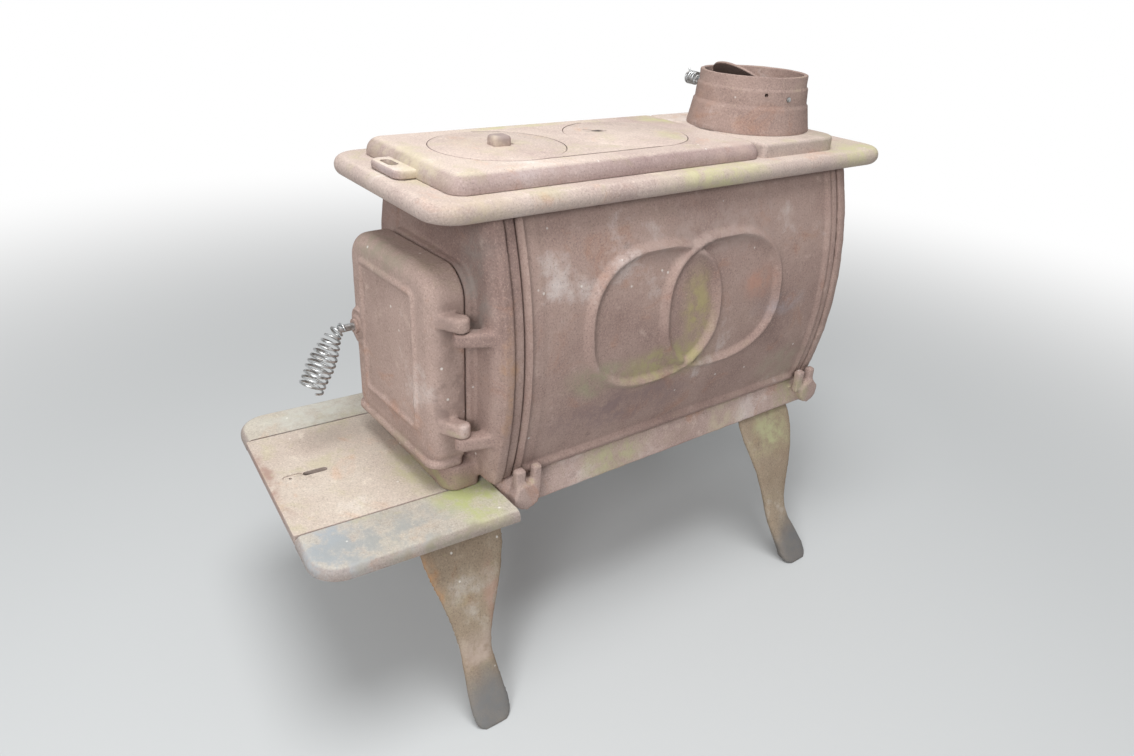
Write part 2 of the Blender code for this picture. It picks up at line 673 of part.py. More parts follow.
bottom_plate = flared("bottom_plate", low_line, SKIRT_LOW, BODY_LOW, flare)
under_line = rounded(-BOTTOM_HALF + SKIRT_WALL, BOTTOM_HALF - SKIRT_WALL, BOTTOM_FRONT + SKIRT_WALL,
                     BOTTOM_BACK - SKIRT_WALL, 0.006, None, 4)
cut(bottom_plate, flared("bottom_hollow", under_line, SKIRT_LOW - 0.001, BODY_LOW - BOTTOM_WEB, flare))
tongue_line = rounded(-TONGUE_HALF, TONGUE_HALF, TONGUE_FRONT, BOTTOM_FRONT + 0.003, 0.006, None, 3)
join(bottom_plate, slab("leg_tongue", tongue_line, LEG_HIGH + GAP, TONGUE_HIGH))
air_middle = (AIR_LEFT + AIR_RIGHT) / 2
air_spans = ((AIR_LEFT, air_middle - AIR_BAR / 2), (air_middle + AIR_BAR / 2, AIR_RIGHT))
for k, (x0, x1) in enumerate(air_spans):
    window = box(f"air_window_{k}", (x0 - 0.002, SLIDE_BACK - 0.012 - AIR_DEEP - 0.005, LEG_HIGH - 0.01),
                 (x1 + 0.002, SLIDE_BACK - 0.012 + 0.005, TONGUE_HIGH + 0.002))
    cut(bottom_plate, window)
for side in (-1, 1):
    boss_low = (side * 0.104 - 0.019, REAR_LEG_Y - 0.050, LEG_HIGH + GAP)
    boss_high = (side * 0.104 + 0.019, REAR_LEG_Y + 0.050, BODY_LOW - BOTTOM_WEB + 0.002)
    join(bottom_plate, box(f"leg_boss_{side}", boss_low, boss_high))
    for k, y in enumerate(EAR_YS):
        ear = rod(f"ear_{k}_{side}", (side * (BOTTOM_TOP_HALF - 0.003), y, BODY_LOW - EAR_RADIUS),
                  (side * EAR_OUT, y, BODY_LOW - EAR_RADIUS), EAR_RADIUS, 14)
        join(bottom_plate, ear)
lug_places = (FRONT_JOINT + 0.015, FRONT_JOINT + 0.038, BACK_JOINT - 0.020, BACK_JOINT + 0.004)
for side in (-1, 1):
    for k, y in enumerate(lug_places):
        lug_low = bow(BODY_LOW + 0.018) + HEM_OUT + 0.0012
        lug_ends = sorted((side * lug_low, side * (lug_low + 0.010)))
        lug = box(f"panel_lug_{k}_{side}", (lug_ends[0], y - 0.0065, BODY_LOW - 0.014),
                  (lug_ends[1], y + 0.0065, BODY_LOW + 0.020))
        join(bottom_plate, lug)
for side in (-1, 1):
    for k, y in enumerate((FRONT_LEG_Y, REAR_LEG_Y)):
        cut(bottom_plate, rod(f"leg_bolt_hole_{k}_{side}", (side * BOLT_X, y, LEG_HIGH - 0.01),
                              (side * BOLT_X, y, LEG_HIGH + 0.0085), BOLT_RADIUS + GAP))
paint(place(bottom_plate), RUST)

# Hearth and draft slide, turned a little on their bolts
hearth_pivot = bpy.data.objects.new("hearth_pivot", None)
hearth_pivot.location = (0, HEARTH_BACK, 0)
hearth_pivot.rotation_euler = (0, 0, HEARTH_TURN)
PARTS.objects.link(hearth_pivot)
hearth_pivot.parent = stove
front_y = HEARTH_FRONT - HEARTH_BACK
hearth_line = rounded(-HEARTH_HALF, HEARTH_HALF, front_y, 0.030, HEARTH_CORNER, 0.010)
hearth = slab("hearth", hearth_line, HEARTH_LOW, HEARTH_HIGH, 0, 0.006, 3)
slide_low = HEARTH_HIGH - SLIDE_THICK
slide_back = SLIDE_BACK - HEARTH_BACK
tray = box("slide_tray", (SLIDE_LEFT, front_y - 0.02, slide_low - GAP), (SLIDE_RIGHT, slide_back + 0.0006,
                                                                         HEARTH_HIGH + 0.01))
tray_lip = box("slide_lip_room", (SLIDE_LEFT, front_y - 0.02, HEARTH_LOW - 0.01),
               (SLIDE_RIGHT, front_y + LIP_THICK + 0.0006, HEARTH_HIGH + 0.01))
wing_room = []
for name, x0, x1 in (("left", -HEARTH_HALF + WING_WALL, SLIDE_LEFT - 0.006),
                     ("right", SLIDE_RIGHT + 0.006, HEARTH_HALF - WING_WALL)):
    wing_line = rounded(x0, x1, front_y + WING_FRONT, -0.012, 0.010, None, 3)
    wing_room.append(slab(f"wing_room_{name}", wing_line, HEARTH_LOW - 0.01, HEARTH_HIGH - 0.0075))
square_back = box("square_back", (-0.3, 0, 0.2), (0.3, 0.1, 0.3))
air_slots = []
for k, (x0, x1) in enumerate(air_spans):
    air_slots.append(box(f"air_slot_{k}", (x0, slide_back - 0.012 - AIR_DEEP, HEARTH_LOW - 0.01),
                         (x1, slide_back - 0.012, HEARTH_HIGH)))
hearth_tools = [tray, tray_lip, *air_slots, *wing_room, square_back]
cut(hearth, *hearth_tools)
for tool in hearth_tools[:-1]:
    tool.parent = hearth_pivot
square_back.location = (0, HEARTH_BACK, 0)
hearth.parent = hearth_pivot
paint(hearth, MOSSY)
side_play = 0.0006
slide_line = rounded(SLIDE_LEFT + side_play, SLIDE_RIGHT - side_play, front_y, slide_back, 0.003, None, 2)
draft_slide = slab("draft_slide", slide_line, slide_low, HEARTH_HIGH - 0.0002, 0, 0.002, 2)
slide_lip = box("slide_lip", (SLIDE_LEFT + side_play + 0.0003, front_y + 0.0002, HEARTH_LOW + 0.0004),
                (SLIDE_RIGHT - side_play - 0.0003, front_y + LIP_THICK, slide_low + 0.003), 0.0015)
join(draft_slide, slide_lip)
slot_y = front_y + SLOT_IN
slot_line = link_outline(SLOT_X, slot_y - SLOT_REACH, SLOT_X, slot_y + SLOT_REACH, 0.0038)
finger_slot = slab("finger_slot", slot_line, slide_low - 0.01, HEARTH_HIGH + 0.01)
dish_line = link_outline(SLOT_X, slot_y - 0.032, SLOT_X, slot_y - 0.020, 0.0045)
thumb_dish = slab("thumb_dish", dish_line, HEARTH_HIGH - 0.0018, HEARTH_HIGH + 0.01)
cut(draft_slide, finger_slot, thumb_dish)
for tool in (slide_lip, finger_slot, thumb_dish):
    tool.parent = hearth_pivot
draft_slide.parent = hearth_pivot
paint(draft_slide, RUST_PALE)

# Door: a deep dish with a raised frame, a lip below, two lugs with cast pins, hung ajar
door_pivot = bpy.data.objects.new("door_pivot", None)
door_pivot.location = (HINGE_X, HINGE_Y, 0)
door_pivot.rotation_euler = (0, 0, DOOR_AJAR)
PARTS.objects.link(door_pivot)
door_pivot.parent = stove
door_face = DOOR_BACK - DOOR_DEPTH
door_line = rounded(DOOR_LEFT, DOOR_HALF, DOOR_LOW, DOOR_HIGH, DOOR_ROUND + 0.004, DOOR_CORNER)
door_tools = []
feed_door = upright(slab("feed_door", door_line, -DOOR_BACK, -door_face, 0, DOOR_ROUND, 3))
dish_line = rounded(DOOR_LEFT + DOOR_WALL, DOOR_HALF - DOOR_WALL, DOOR_LOW + DOOR_WALL,
                    DOOR_HIGH - DOOR_WALL, 0.010, DOOR_CORNER - DOOR_WALL)
dish = upright(slab("door_dish", dish_line, -DOOR_BACK - 0.01, -door_face - DOOR_WALL, 0, 0.010, 2))
cut(feed_door, dish)
frame_line = rounded(FRAME_LEFT, FRAME_HALF, FRAME_LOW, FRAME_HIGH, 0.006, None, 3)
frame = upright(slab("door_frame", frame_line, -door_face - 0.002, -door_face + FRAME_RISE, 0, 0.001, 1))
frame_in = rounded(FRAME_LEFT + FRAME_RIB, FRAME_HALF - FRAME_RIB, FRAME_LOW + FRAME_RIB,
                   FRAME_HIGH - FRAME_RIB, 0.004, None, 3)
frame_field = upright(slab("frame_field", frame_in, -door_face + GAP, -door_face + 0.01))
boss = rod("latch_boss", (LATCH_X, door_face + 0.008, LATCH_Z), (LATCH_X, door_face - 0.0035, LATCH_Z),
           0.0125, 20)
lip_line = rounded(DOOR_LEFT - 0.002, DOOR_HALF + 0.001, door_face - 0.003, DOOR_BACK - 0.004, 0.018, 0.006)
lip = slab("door_lip", lip_line, DOOR_LOW + 0.0004, DOOR_LOW + 0.009, 0.002, 0.003, 2)
rod_hole = rod("rod_hole", (LATCH_X, door_face - 0.02, LATCH_Z), (LATCH_X, door_face + 0.02, LATCH_Z),
               ROD_RADIUS + GAP)
join(feed_door, frame)
cut(feed_door, frame_field)
join(feed_door, boss, lip)
cut(feed_door, rod_hole)
door_tools += [dish, frame, frame_field, boss, lip, rod_hole]
for k, low in enumerate(ARM_LOWS):
    lug_low = low + ARM_THICK + 2 * GAP
    lug_line = link_outline(HINGE_X, HINGE_Y, DOOR_HALF - 0.006, HINGE_Y - 0.012, HINGE_RADIUS)
    lug = slab(f"door_lug_{k}", lug_line, lug_low, lug_low + LUG_THICK, 0.0015, 0.003, 2)
    pin = rod(f"hinge_pin_{k}", (HINGE_X, HINGE_Y, low + 0.001), (HINGE_X, HINGE_Y, lug_low + 0.004),
              PIN_RADIUS)
    clear = box(f"lug_trim_{k}", (DOOR_HALF - 0.03, DOOR_BACK - DOOR_DEPTH, lug_low - 0.001),
                (DOOR_HALF - DOOR_WALL, DOOR_BACK + 0.01, lug_low + LUG_THICK + 0.001))
    cut(lug, clear)
    join(feed_door, lug, pin)
    door_tools += [lug, pin, clear]
for piece in (feed_door, *door_tools):
    piece.parent = door_pivot
    piece.matrix_parent_inverse = Matrix.Translation((-HINGE_X, -HINGE_Y, 0))
paint(feed_door, RUST)

# Latch: a plated rod through the door, tongue inside, washer and open wire grip outside
rod_start = DOOR_BACK + ROD_IN
rod_end = door_face - ROD_OUT
latch_rod = rod("latch_rod", (LATCH_X, rod_start, LATCH_Z), (LATCH_X, rod_end, LATCH_Z), ROD_RADIUS)
tongue = box("latch_tongue", (LATCH_X - TONGUE_WIDE / 2, rod_start - TONGUE_THICK, LATCH_Z - TONGUE_LONG),
             (LATCH_X + TONGUE_WIDE / 2, rod_start - 0.0002, LATCH_Z + TONGUE_WIDE / 2), 0.001)
join(latch_rod, tongue)
washer = rod("latch_washer", (LATCH_X, door_face - 0.0035 - GAP, LATCH_Z),
             (LATCH_X, door_face - 0.007, LATCH_Z), 0.009, 20)
washer_bore = rod("washer_bore", (LATCH_X, door_face, LATCH_Z), (LATCH_X, door_face - 0.02, LATCH_Z),
                  ROD_RADIUS + GAP)
cut(washer, washer_bore)
coil = []
coil_steps = COIL_TURNS * 9
coil_axis = Vector((0, -math.sin(COIL_LEAN), -math.cos(COIL_LEAN)))
coil_side = Vector((1, 0, 0))
coil_up = coil_axis.cross(coil_side)
neck = Vector((LATCH_X, rod_end + 0.006, LATCH_Z))
for k in range(coil_steps + 1):
    part = k / coil_steps
    angle = 2 * math.pi * COIL_TURNS * part
    swell = ROD_RADIUS + COIL_WIRE + GAP + 0.0095 * math.sin(math.pi * min(1, part * 1.25) / 1.6) ** 1.5
    bend = min(1, part * 5)
    axis = (Vector((0, -1, 0)) * (1 - bend) + coil_axis * bend).normalized()
    up = axis.cross(coil_side)
    if k:
        neck = neck + axis * (COIL_LONG / coil_steps)
    spot = neck + (coil_side * math.cos(angle) + up * math.sin(angle)) * swell
    coil.append(tuple(spot))
latch_grip = baked(wire("latch_grip", coil, COIL_WIRE, 1))
for piece in (latch_rod, washer, latch_grip, tongue, washer_bore):
    piece.parent = door_pivot
    piece.matrix_parent_inverse = Matrix.Translation((-HINGE_X, -HINGE_Y, 0))
for piece, color in ((latch_rod, ZINC), (washer, RUST), (latch_grip, ZINC)):
    paint(piece, color, 0.45, 0.9)

# Legs: a broad knee that narrows to the ankle and turns out into a foot, and their bolts
# height, outer face, thickness and width at each level
LEG_LEVELS = ((0.236, 0.1205, 0.0100, 0.102), (0.228, 0.1235, 0.0100, 0.1025), (0.214, 0.1325, 0.0105, 0.108),
              (0.195, 0.1430, 0.0110, 0.103), (0.170, 0.1555, 0.0120, 0.088), (0.145, 0.1650, 0.0130, 0.071),
              (0.120, 0.1720, 0.0140, 0.056), (0.097, 0.1785, 0.0150, 0.045), (0.080, 0.1840, 0.0160, 0.042),
              (0.060, 0.1920, 0.0175, 0.044), (0.040, 0.2015, 0.0195, 0.048), (0.020, 0.2120, 0.0220, 0.050),
              (0.007, 0.2190, 0.0250, 0.048), (0.000, TOE_X, 0.0290, 0.041))
legs = {}
for end, leg_y, ankle_lean, foot_lean in (("front", FRONT_LEG_Y, -0.0085, -0.006),
                                          ("rear", REAR_LEG_Y, -0.001, 0.022)):
    rings = []
    for z, x_out, thick, wide in LEG_LEVELS:
        if z > ANKLE_Z:
            skew = ankle_lean * ((LEG_HIGH - z) / (LEG_HIGH - ANKLE_Z)) ** 1.5
        else:
            part = 1 - z / ANKLE_Z
            skew = ankle_lean + (foot_lean - ankle_lean) * part * part * (3 - 2 * part)
        middle = leg_y + skew
        half = wide / 2
        nose = min(0.006, thick * 0.45)
        section = [(x_out - nose, middle - half), (x_out - nose * 0.3, middle - half + nose * 0.7),
                   (x_out, middle - half + nose * 2), (x_out, middle + half - nose * 2),
                   (x_out - nose * 0.3, middle + half - nose * 0.7), (x_out - nose, middle + half),
                   (x_out - thick, middle + half - nose), (x_out - thick, middle - half + nose)]
        rings.append([(x, y, z) for x, y in section])
    leg = loft(f"right_{end}_leg", rings[::-1])
    pad = box(f"leg_pad_{end}", (LEG_TOP_X - 0.038, leg_y - 0.045, LEG_HIGH - 0.0085),
              (LEG_TOP_X - 0.006, leg_y + 0.045, LEG_HIGH - 0.0002))
    join(leg, pad)
    cut(leg, rod(f"leg_hole_{end}", (BOLT_X, leg_y, LEG_HIGH - 0.02), (BOLT_X, leg_y, LEG_HIGH + 0.01),
                 BOLT_RADIUS + GAP))
    paint(place(leg), MOSSY)
    paint(mirrored(leg, f"left_{end}_leg"), MOSSY)
    bolt = rod(f"right_{end}_leg_bolt", (BOLT_X, leg_y, LEG_HIGH - 0.014), (BOLT_X, leg_y, LEG_HIGH + 0.0080),
               BOLT_RADIUS, 12)
    join(bolt, rod(f"bolt_head_{end}", (BOLT_X, leg_y, LEG_HIGH - 0.0148),
                   (BOLT_X, leg_y, LEG_HIGH - 0.0085 - GAP), 0.0075, 6))
    paint(place(bolt), RUST_DARK)
    paint(mirrored(bolt, f"left_{end}_leg_bolt"), RUST_DARK)
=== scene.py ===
import math

import bmesh
import bpy
from mathutils import Matrix, Vector, noise


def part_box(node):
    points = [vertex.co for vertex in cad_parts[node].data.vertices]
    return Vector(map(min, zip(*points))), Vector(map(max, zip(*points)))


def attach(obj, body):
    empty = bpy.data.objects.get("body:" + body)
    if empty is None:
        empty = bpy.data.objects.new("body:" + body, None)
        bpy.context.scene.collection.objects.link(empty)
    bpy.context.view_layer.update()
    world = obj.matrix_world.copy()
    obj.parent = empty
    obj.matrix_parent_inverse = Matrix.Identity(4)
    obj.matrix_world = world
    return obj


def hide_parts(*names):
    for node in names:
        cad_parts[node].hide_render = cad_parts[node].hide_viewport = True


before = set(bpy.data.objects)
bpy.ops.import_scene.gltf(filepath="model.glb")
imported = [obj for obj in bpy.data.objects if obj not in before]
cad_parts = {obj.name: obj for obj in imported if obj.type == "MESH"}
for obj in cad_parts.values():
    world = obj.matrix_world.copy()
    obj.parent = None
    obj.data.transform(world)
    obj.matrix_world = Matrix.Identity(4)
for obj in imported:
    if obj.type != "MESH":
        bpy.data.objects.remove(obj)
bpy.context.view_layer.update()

# Top plate: one grey-iron casting about 270 by 700 mm with a fat rolled edge and, at the back,
# a raised pad for the flue collar. It lies loose on the body, held by hooks under its edge.
plate_low, plate_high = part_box("top_plate")
stove_y = (plate_low.y + plate_high.y) / 2
plate_half = (plate_high.x - plate_low.x) / 2
plate_reach = (plate_high.y - plate_low.y) / 2
plate_top = 0.602
plate_edge = 0.022
plate_web = 0.008
plate_wall = 0.0115
plate_corner = 0.038
pad_top = plate_high.z
pad_half = 0.110
pad_front = 0.1188
pad_back = 0.268
flue_y = 0.202
lid_radius = 0.0772
lid_places = (-0.200, -0.016)
lid_ledge = 0.0065


def solid_from(name, bm):
    bmesh.ops.recalc_face_normals(bm, faces=bm.faces)
    mesh = bpy.data.meshes.new(name)
    bm.to_mesh(mesh)
    bm.free()
    solid = bpy.data.objects.new(name, mesh)
    bpy.context.scene.collection.objects.link(solid)
    return solid


def corners_rounded(x0, x1, y0, y1, front, back=None, steps=12):
    """Outline of a rectangle, its corners at y0 and y1 rounded by front and back."""
    back = front if back is None else back
    line = []
    for cx, cy, sx, sy, radius, start in ((x1, y1, -1, -1, back, 0), (x0, y1, 1, -1, back, 90),
                                          (x0, y0, 1, 1, front, 180), (x1, y0, -1, 1, front, 270)):
        for k in range(steps + 1):
            turn = math.radians(start + 90 * k / steps)
            line.append((cx + sx * radius + radius * math.cos(turn),
                         cy + sy * radius + radius * math.sin(turn)))
    return line


def inwards(line, amount):
    """The outline drawn in by amount along its own normals."""
    drawn = []
    for k, (x, y) in enumerate(line):
        before, after = Vector(line[k - 1]), Vector(line[(k + 1) % len(line)])
        along = (after - before).normalized()
        drawn.append((x - along.y * amount, y + along.x * amount))
    return drawn


def slab(name, line, low, high, round_low=0.0, round_high=0.0, steps=7):
    """A thick plate with round rims, built ring by ring from its outline."""
    rings = []
    for k in range(steps + 1 if round_low else 1):
        turn = math.pi / 2 * k / steps
        rings.append((round_low * (1 - math.sin(turn)), low + round_low * (1 - math.cos(turn))))
    for k in range(steps + 1 if round_high else 1):
        turn = math.pi / 2 * k / steps
        rings.append((round_high * (1 - math.cos(turn)), high - round_high * (1 - math.sin(turn))))
    bm = bmesh.new()
    rows = [[bm.verts.new((x, y, z)) for x, y in inwards(line, inset)] for inset, z in rings]
    for lower, upper in zip(rows, rows[1:]):
        for k in range(len(line)):
            n = (k + 1) % len(line)
            bm.faces.new((lower[k], lower[n], upper[n], upper[k]))
    bm.faces.new(rows[0][::-1])
    bm.faces.new(rows[-1])
    return solid_from(name, bm)


def bar(name, start, end, radius, sides=40):
    bm = bmesh.new()
    line = Vector(end) - Vector(start)
    bmesh.ops.create_cone(bm, cap_ends=True, segments=sides, radius1=radius, radius2=radius,
                          depth=line.length)
    bm.transform(Matrix.Translation((Vector(start) + Vector(end)) / 2)
                 @ line.to_track_quat("Z", "Y").to_matrix().to_4x4())
    return solid_from(name, bm)


def block(name, low, high, bevel=0.0):
    bm = bmesh.new()
    bmesh.ops.create_cube(bm, size=1)
    size = Vector(high) - Vector(low)
    bm.transform(Matrix.Translation((Vector(low) + Vector(high)) / 2) @ Matrix.Diagonal(size).to_4x4())
    if bevel:
        bmesh.ops.bevel(bm, geom=bm.edges, offset=bevel, segments=4, profile=0.5, affect="EDGES")
    return solid_from(name, bm)


def pill(x, y0, y1, radius, steps=16):
    """Outline of a slot along y with round ends."""
    line = []
    for cy, start in ((y1, 0), (y0, 180)):
        for k in range(steps + 1):
            turn = math.radians(start + 180 * k / steps)
            line.append((x + radius * math.cos(turn), cy + radius * math.sin(turn)))
    return line


def shaped(solid, add=(), cut=()):
    """Joins and cuts the solid with others, and leaves one plain mesh."""
    for tool, way in [(t, "UNION") for t in add] + [(t, "DIFFERENCE") for t in cut]:
        mod = solid.modifiers.new(tool.name, "BOOLEAN")
        mod.operation = way
        mod.solver = "EXACT"
        mod.object = tool
    return plain(solid, (*add, *cut))


def plain(solid, spent=()):
    """Replaces an object's modifiers by their result, and clears away the tools."""
    bpy.context.view_layer.update()
    graph = bpy.context.evaluated_depsgraph_get()
    mesh = bpy.data.meshes.new_from_object(solid.evaluated_get(graph))
    solid.modifiers.clear()
    if solid.type == "MESH":
        solid.data = mesh
        made = solid
    else:
        made = bpy.data.objects.new(solid.name + "_mesh", mesh)
        made.matrix_world = solid.matrix_world.copy()
        bpy.context.scene.collection.objects.link(made)
        bpy.data.objects.remove(solid, do_unlink=True)
    for tool in spent:
        bpy.data.objects.remove(tool, do_unlink=True)
    return made


def uneven(solid, low=0.00025, fine=0.0001, seed=0.0):
    """Moves the skin by fractions of a millimetre, as sand casting and rust leave it."""
    mesh = solid.data
    shift = Vector((seed, 3.1 * seed, 1.7 * seed))
    moved = []
    for v in mesh.vertices:
        p = v.co + shift
        rise = low * noise.noise(p * 55) + fine * noise.noise(p * 240)
        moved.append(v.co + v.normal * rise)
    for v, co in zip(mesh.vertices, moved):
        v.co = co
    mesh.update()


def recast(solid, grain, rounds=3):
    """Gives a joined form one even skin with soft inside corners, like a real casting."""
    mod = solid.modifiers.new("skin", "REMESH")
    mod.mode = "VOXEL"
    mod.voxel_size = grain
    soft = solid.modifiers.new("soft", "SMOOTH")
    soft.factor = 0.5
    soft.iterations = rounds
    return plain(solid)


def settle(piece, body, nodes, metal, sharp=40, shifted=True):
    """Puts a finished piece in its place on the stove in the place of its rough solids."""
    if shifted:
        piece.data.transform(Matrix.Translation((0, stove_y, 0)) @ piece.matrix_world)
        piece.matrix_world = Matrix.Identity(4)
    piece.data.shade_smooth()
    if sharp:
        piece.data.set_sharp_from_angle(angle=math.radians(sharp))
    piece.data.materials.clear()
    piece.data.materials.append(metal)
    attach(piece, body)
    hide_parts(*nodes)
    return piece


def rust(name, tones, green=0.25, stains_and_painted_shade=(), flecks=0.5, seed=0.0, edges=0.0):
    """Rusted cast iron: four tones in clouds, speckle, lichen on what faces up, painted shade on every face
    that turns from straight up (as much as edges asks), and tinted spots, most of them real marks and a few
    of them painted shade.
    """
    mat = bpy.data.materials.new(name)
    mat.use_nodes = True
    tree = mat.node_tree
    shader = tree.nodes["Principled BSDF"]
    shader.inputs["Metallic"].default_value = 0.0
    shader.inputs["Specular IOR Level"].default_value = 0.28

    def node(kind, **values):
        made = tree.nodes.new(kind)
        for key, value in values.items():
            setattr(made, key, value)
        return made

    def link(out, into):
        tree.links.new(out, into)

    where = node("ShaderNodeTexCoord")
    moved = node("ShaderNodeVectorMath", operation="ADD")
    moved.inputs[1].default_value = (seed, seed * 0.7, seed * 1.3)
    link(where.outputs["Object"], moved.inputs[0])

    def cloud(scale, detail=5.0, rough=0.6, twist=0.0, shift=0.0):
        made = node("ShaderNodeTexNoise")
        made.inputs["Scale"].default_value = scale
        made.inputs["Detail"].default_value = detail
        made.inputs["Roughness"].default_value = rough
        made.inputs["Distortion"].default_value = twist
        source = moved.outputs[0]
        if shift:
            offset = node("ShaderNodeVectorMath", operation="ADD")
            offset.inputs[1].default_value = (shift, -shift, shift * 0.5)
            link(source, offset.inputs[0])
            source = offset.outputs[0]
        link(source, made.inputs["Vector"])
        return made.outputs["Fac"]

    def ramp(source, low, high, bottom=0.0, top=1.0):
        made = node("ShaderNodeMapRange", interpolation_type="SMOOTHSTEP")
        for key, value in (("From Min", low), ("From Max", high), ("To Min", bottom), ("To Max", top)):
            made.inputs[key].default_value = value
        link(source, made.inputs["Value"])
        return made.outputs["Result"]

    def times(a, b):
        made = node("ShaderNodeMath", operation="MULTIPLY")
        for value, socket in ((a, made.inputs[0]), (b, made.inputs[1])):
            if isinstance(value, float):
                socket.default_value = value
            else:
                link(value, socket)
        return made.outputs[0]

    def over(below, colour, mask):
        made = node("ShaderNodeMix", data_type="RGBA")
        link(mask, made.inputs[0])
        link(below, made.inputs[6])
        if isinstance(colour, tuple):
            made.inputs[7].default_value = (*colour, 1)
        else:
            link(colour, made.inputs[7])
        return made.outputs[2]

    broad = cloud(7.0, 7.0, 0.66, 0.1)
    patches = node("ShaderNodeValToRGB")
    stops = patches.color_ramp.elements
    for stop, place, tone in zip([stops[0], stops[1], stops.new(0.5), stops.new(0.6)],
                                 (0.30, 0.86, 0.45, 0.60), (tones[0], tones[3], tones[1], tones[2])):
        stop.position = place
        stop.color = (*tone, 1)
    link(broad, patches.inputs[0])
    colour = patches.outputs[0]
    middle = cloud(42.0, 6.0, 0.7)
    colour = over(colour, tuple(c * 0.72 for c in tones[0]), ramp(middle, 0.40, 0.24, 0.0, 0.55))
    colour = over(colour, tuple(min(1, c * 1.22) for c in tones[3]), ramp(middle, 0.56, 0.74, 0.0, 0.55))
    orange = cloud(16.0, 5.0, 0.65, 0.8, 4.0)
    colour = over(colour, (tones[1][0] * 1.12, tones[1][1] * 0.82, tones[1][2] * 0.62),
                  ramp(orange, 0.56, 0.72, 0.0, 0.45))
    speckle = cloud(460.0, 3.0, 0.8, 0.0, 2.0)
    colour = over(colour, tuple(min(1, c * 1.45) for c in tones[2]), ramp(speckle, 0.52, 0.68, 0.0, 0.42))
    colour = over(colour, tuple(c * 0.5 for c in tones[0]), ramp(speckle, 0.47, 0.32, 0.0, 0.45))
    facing = node("ShaderNodeSeparateXYZ")
    link(where.outputs["Normal"], facing.inputs[0])
    upwards = ramp(facing.outputs[2], 0.1, 0.85, 0.15, 1.0)
    growth = times(ramp(cloud(19.0, 7.0, 0.72, 0.3, 7.0), 0.52, 0.66), upwards)
    colour = over(colour, (0.44, 0.42, 0.22), times(growth, green))
    # Painted shade: every face that turns from straight up, such as rolled rims and sides, is darkened
    # towards mauve, as strongly as edges asks.
    painted_edge_shade = node("ShaderNodeMix", data_type="RGBA", blend_type="MULTIPLY")
    link(ramp(facing.outputs[2], 0.985, 0.75, 0.0, edges), painted_edge_shade.inputs[0])
    link(colour, painted_edge_shade.inputs[6])
    painted_edge_shade.inputs[7].default_value = (0.58, 0.52, 0.56, 1)
    colour = painted_edge_shade.outputs[2]
    wobble = node("ShaderNodeTexNoise")
    wobble.inputs["Scale"].default_value = 30.0
    link(moved.outputs[0], wobble.inputs["Vector"])
    spread = node("ShaderNodeVectorMath", operation="SCALE")
    spread.inputs["Scale"].default_value = 0.035
    link(wobble.outputs["Color"], spread.inputs[0])
    wander = node("ShaderNodeVectorMath", operation="ADD")
    link(where.outputs["Object"], wander.inputs[0])
    link(spread.outputs[0], wander.inputs[1])
    # Each listed spot tints a soft patch: most are real stains and growth, a few are painted shade in slots
    # and on shaded faces.
    for spot, radii, tint, amount in stains_and_painted_shade:
        near = node("ShaderNodeVectorMath", operation="SUBTRACT")
        near.inputs[1].default_value = (spot[0] + 0.0175, spot[1] + stove_y + 0.0175, spot[2] + 0.0175)
        link(wander.outputs[0], near.inputs[0])
        scaled = node("ShaderNodeVectorMath", operation="DIVIDE")
        scaled.inputs[1].default_value = radii
        link(near.outputs[0], scaled.inputs[0])
        size = node("ShaderNodeVectorMath", operation="LENGTH")
        link(scaled.outputs[0], size.inputs[0])
        thin = 0.85 if amount > 0.96 else 0.2    # only the strongest stains cover without breaks
        colour = over(colour, tint, times(ramp(size.outputs["Value"], 1.0, 0.25),
                                          ramp(middle, 0.40, 0.60, amount * thin, amount)))
    chips = node("ShaderNodeTexVoronoi")
    chips.inputs["Scale"].default_value = 58.0
    link(moved.outputs[0], chips.inputs["Vector"])
    chosen = node("ShaderNodeSeparateXYZ")
    link(chips.outputs["Color"], chosen.inputs[0])
    chip = times(ramp(chips.outputs["Distance"], 0.12, 0.05),
                 ramp(chosen.outputs[0], 0.86, 0.89, 0.0, flecks))
    colour = over(colour, (0.78, 0.76, 0.72), chip)
    link(colour, shader.inputs["Base Color"])
    link(ramp(middle, 0.3, 0.7, 0.95, 0.78), shader.inputs["Roughness"])
    grain = cloud(900.0, 3.0, 0.7, 0.0, 1.0)
    coarse = node("ShaderNodeBump")
    coarse.inputs["Strength"].default_value = 0.55
    coarse.inputs["Distance"].default_value = 0.0012
    link(middle, coarse.inputs["Height"])
    medium = node("ShaderNodeBump")
    medium.inputs["Strength"].default_value = 0.7
    medium.inputs["Distance"].default_value = 0.0006
    link(speckle, medium.inputs["Height"])
    link(coarse.outputs[0], medium.inputs["Normal"])
    fine = node("ShaderNodeBump")
    fine.inputs["Strength"].default_value = 0.5
    fine.inputs["Distance"].default_value = 0.0003
    link(grain, fine.inputs["Height"])
    link(medium.outputs[0], fine.inputs["Normal"])
    link(fine.outputs[0], shader.inputs["Normal"])
    return mat


pale_tones = ((0.42, 0.325, 0.295), (0.50, 0.408, 0.362), (0.56, 0.470, 0.412), (0.60, 0.512, 0.447))
lichen_green = (0.50, 0.48, 0.27)
# The plate's rolled rim and sides get painted shade through edges.
top_rust = rust("top_rust", pale_tones, 0.32, (
    ((0.125, 0.02, 0.595), (0.05, 0.11, 0.03), lichen_green, 0.75),
    ((0.115, 0.30, 0.600), (0.06, 0.09, 0.03), lichen_green, 0.8),
    ((0.125, -0.30, 0.592), (0.04, 0.05, 0.03), (0.50, 0.42, 0.30), 0.6),
    ((-0.09, -0.05, 0.60), (0.04, 0.15, 0.03), lichen_green, 0.5),
    ((0.09, 0.24, 0.619), (0.07, 0.05, 0.02), (0.34, 0.30, 0.22), 0.6)), flecks=0.8, edges=0.3)

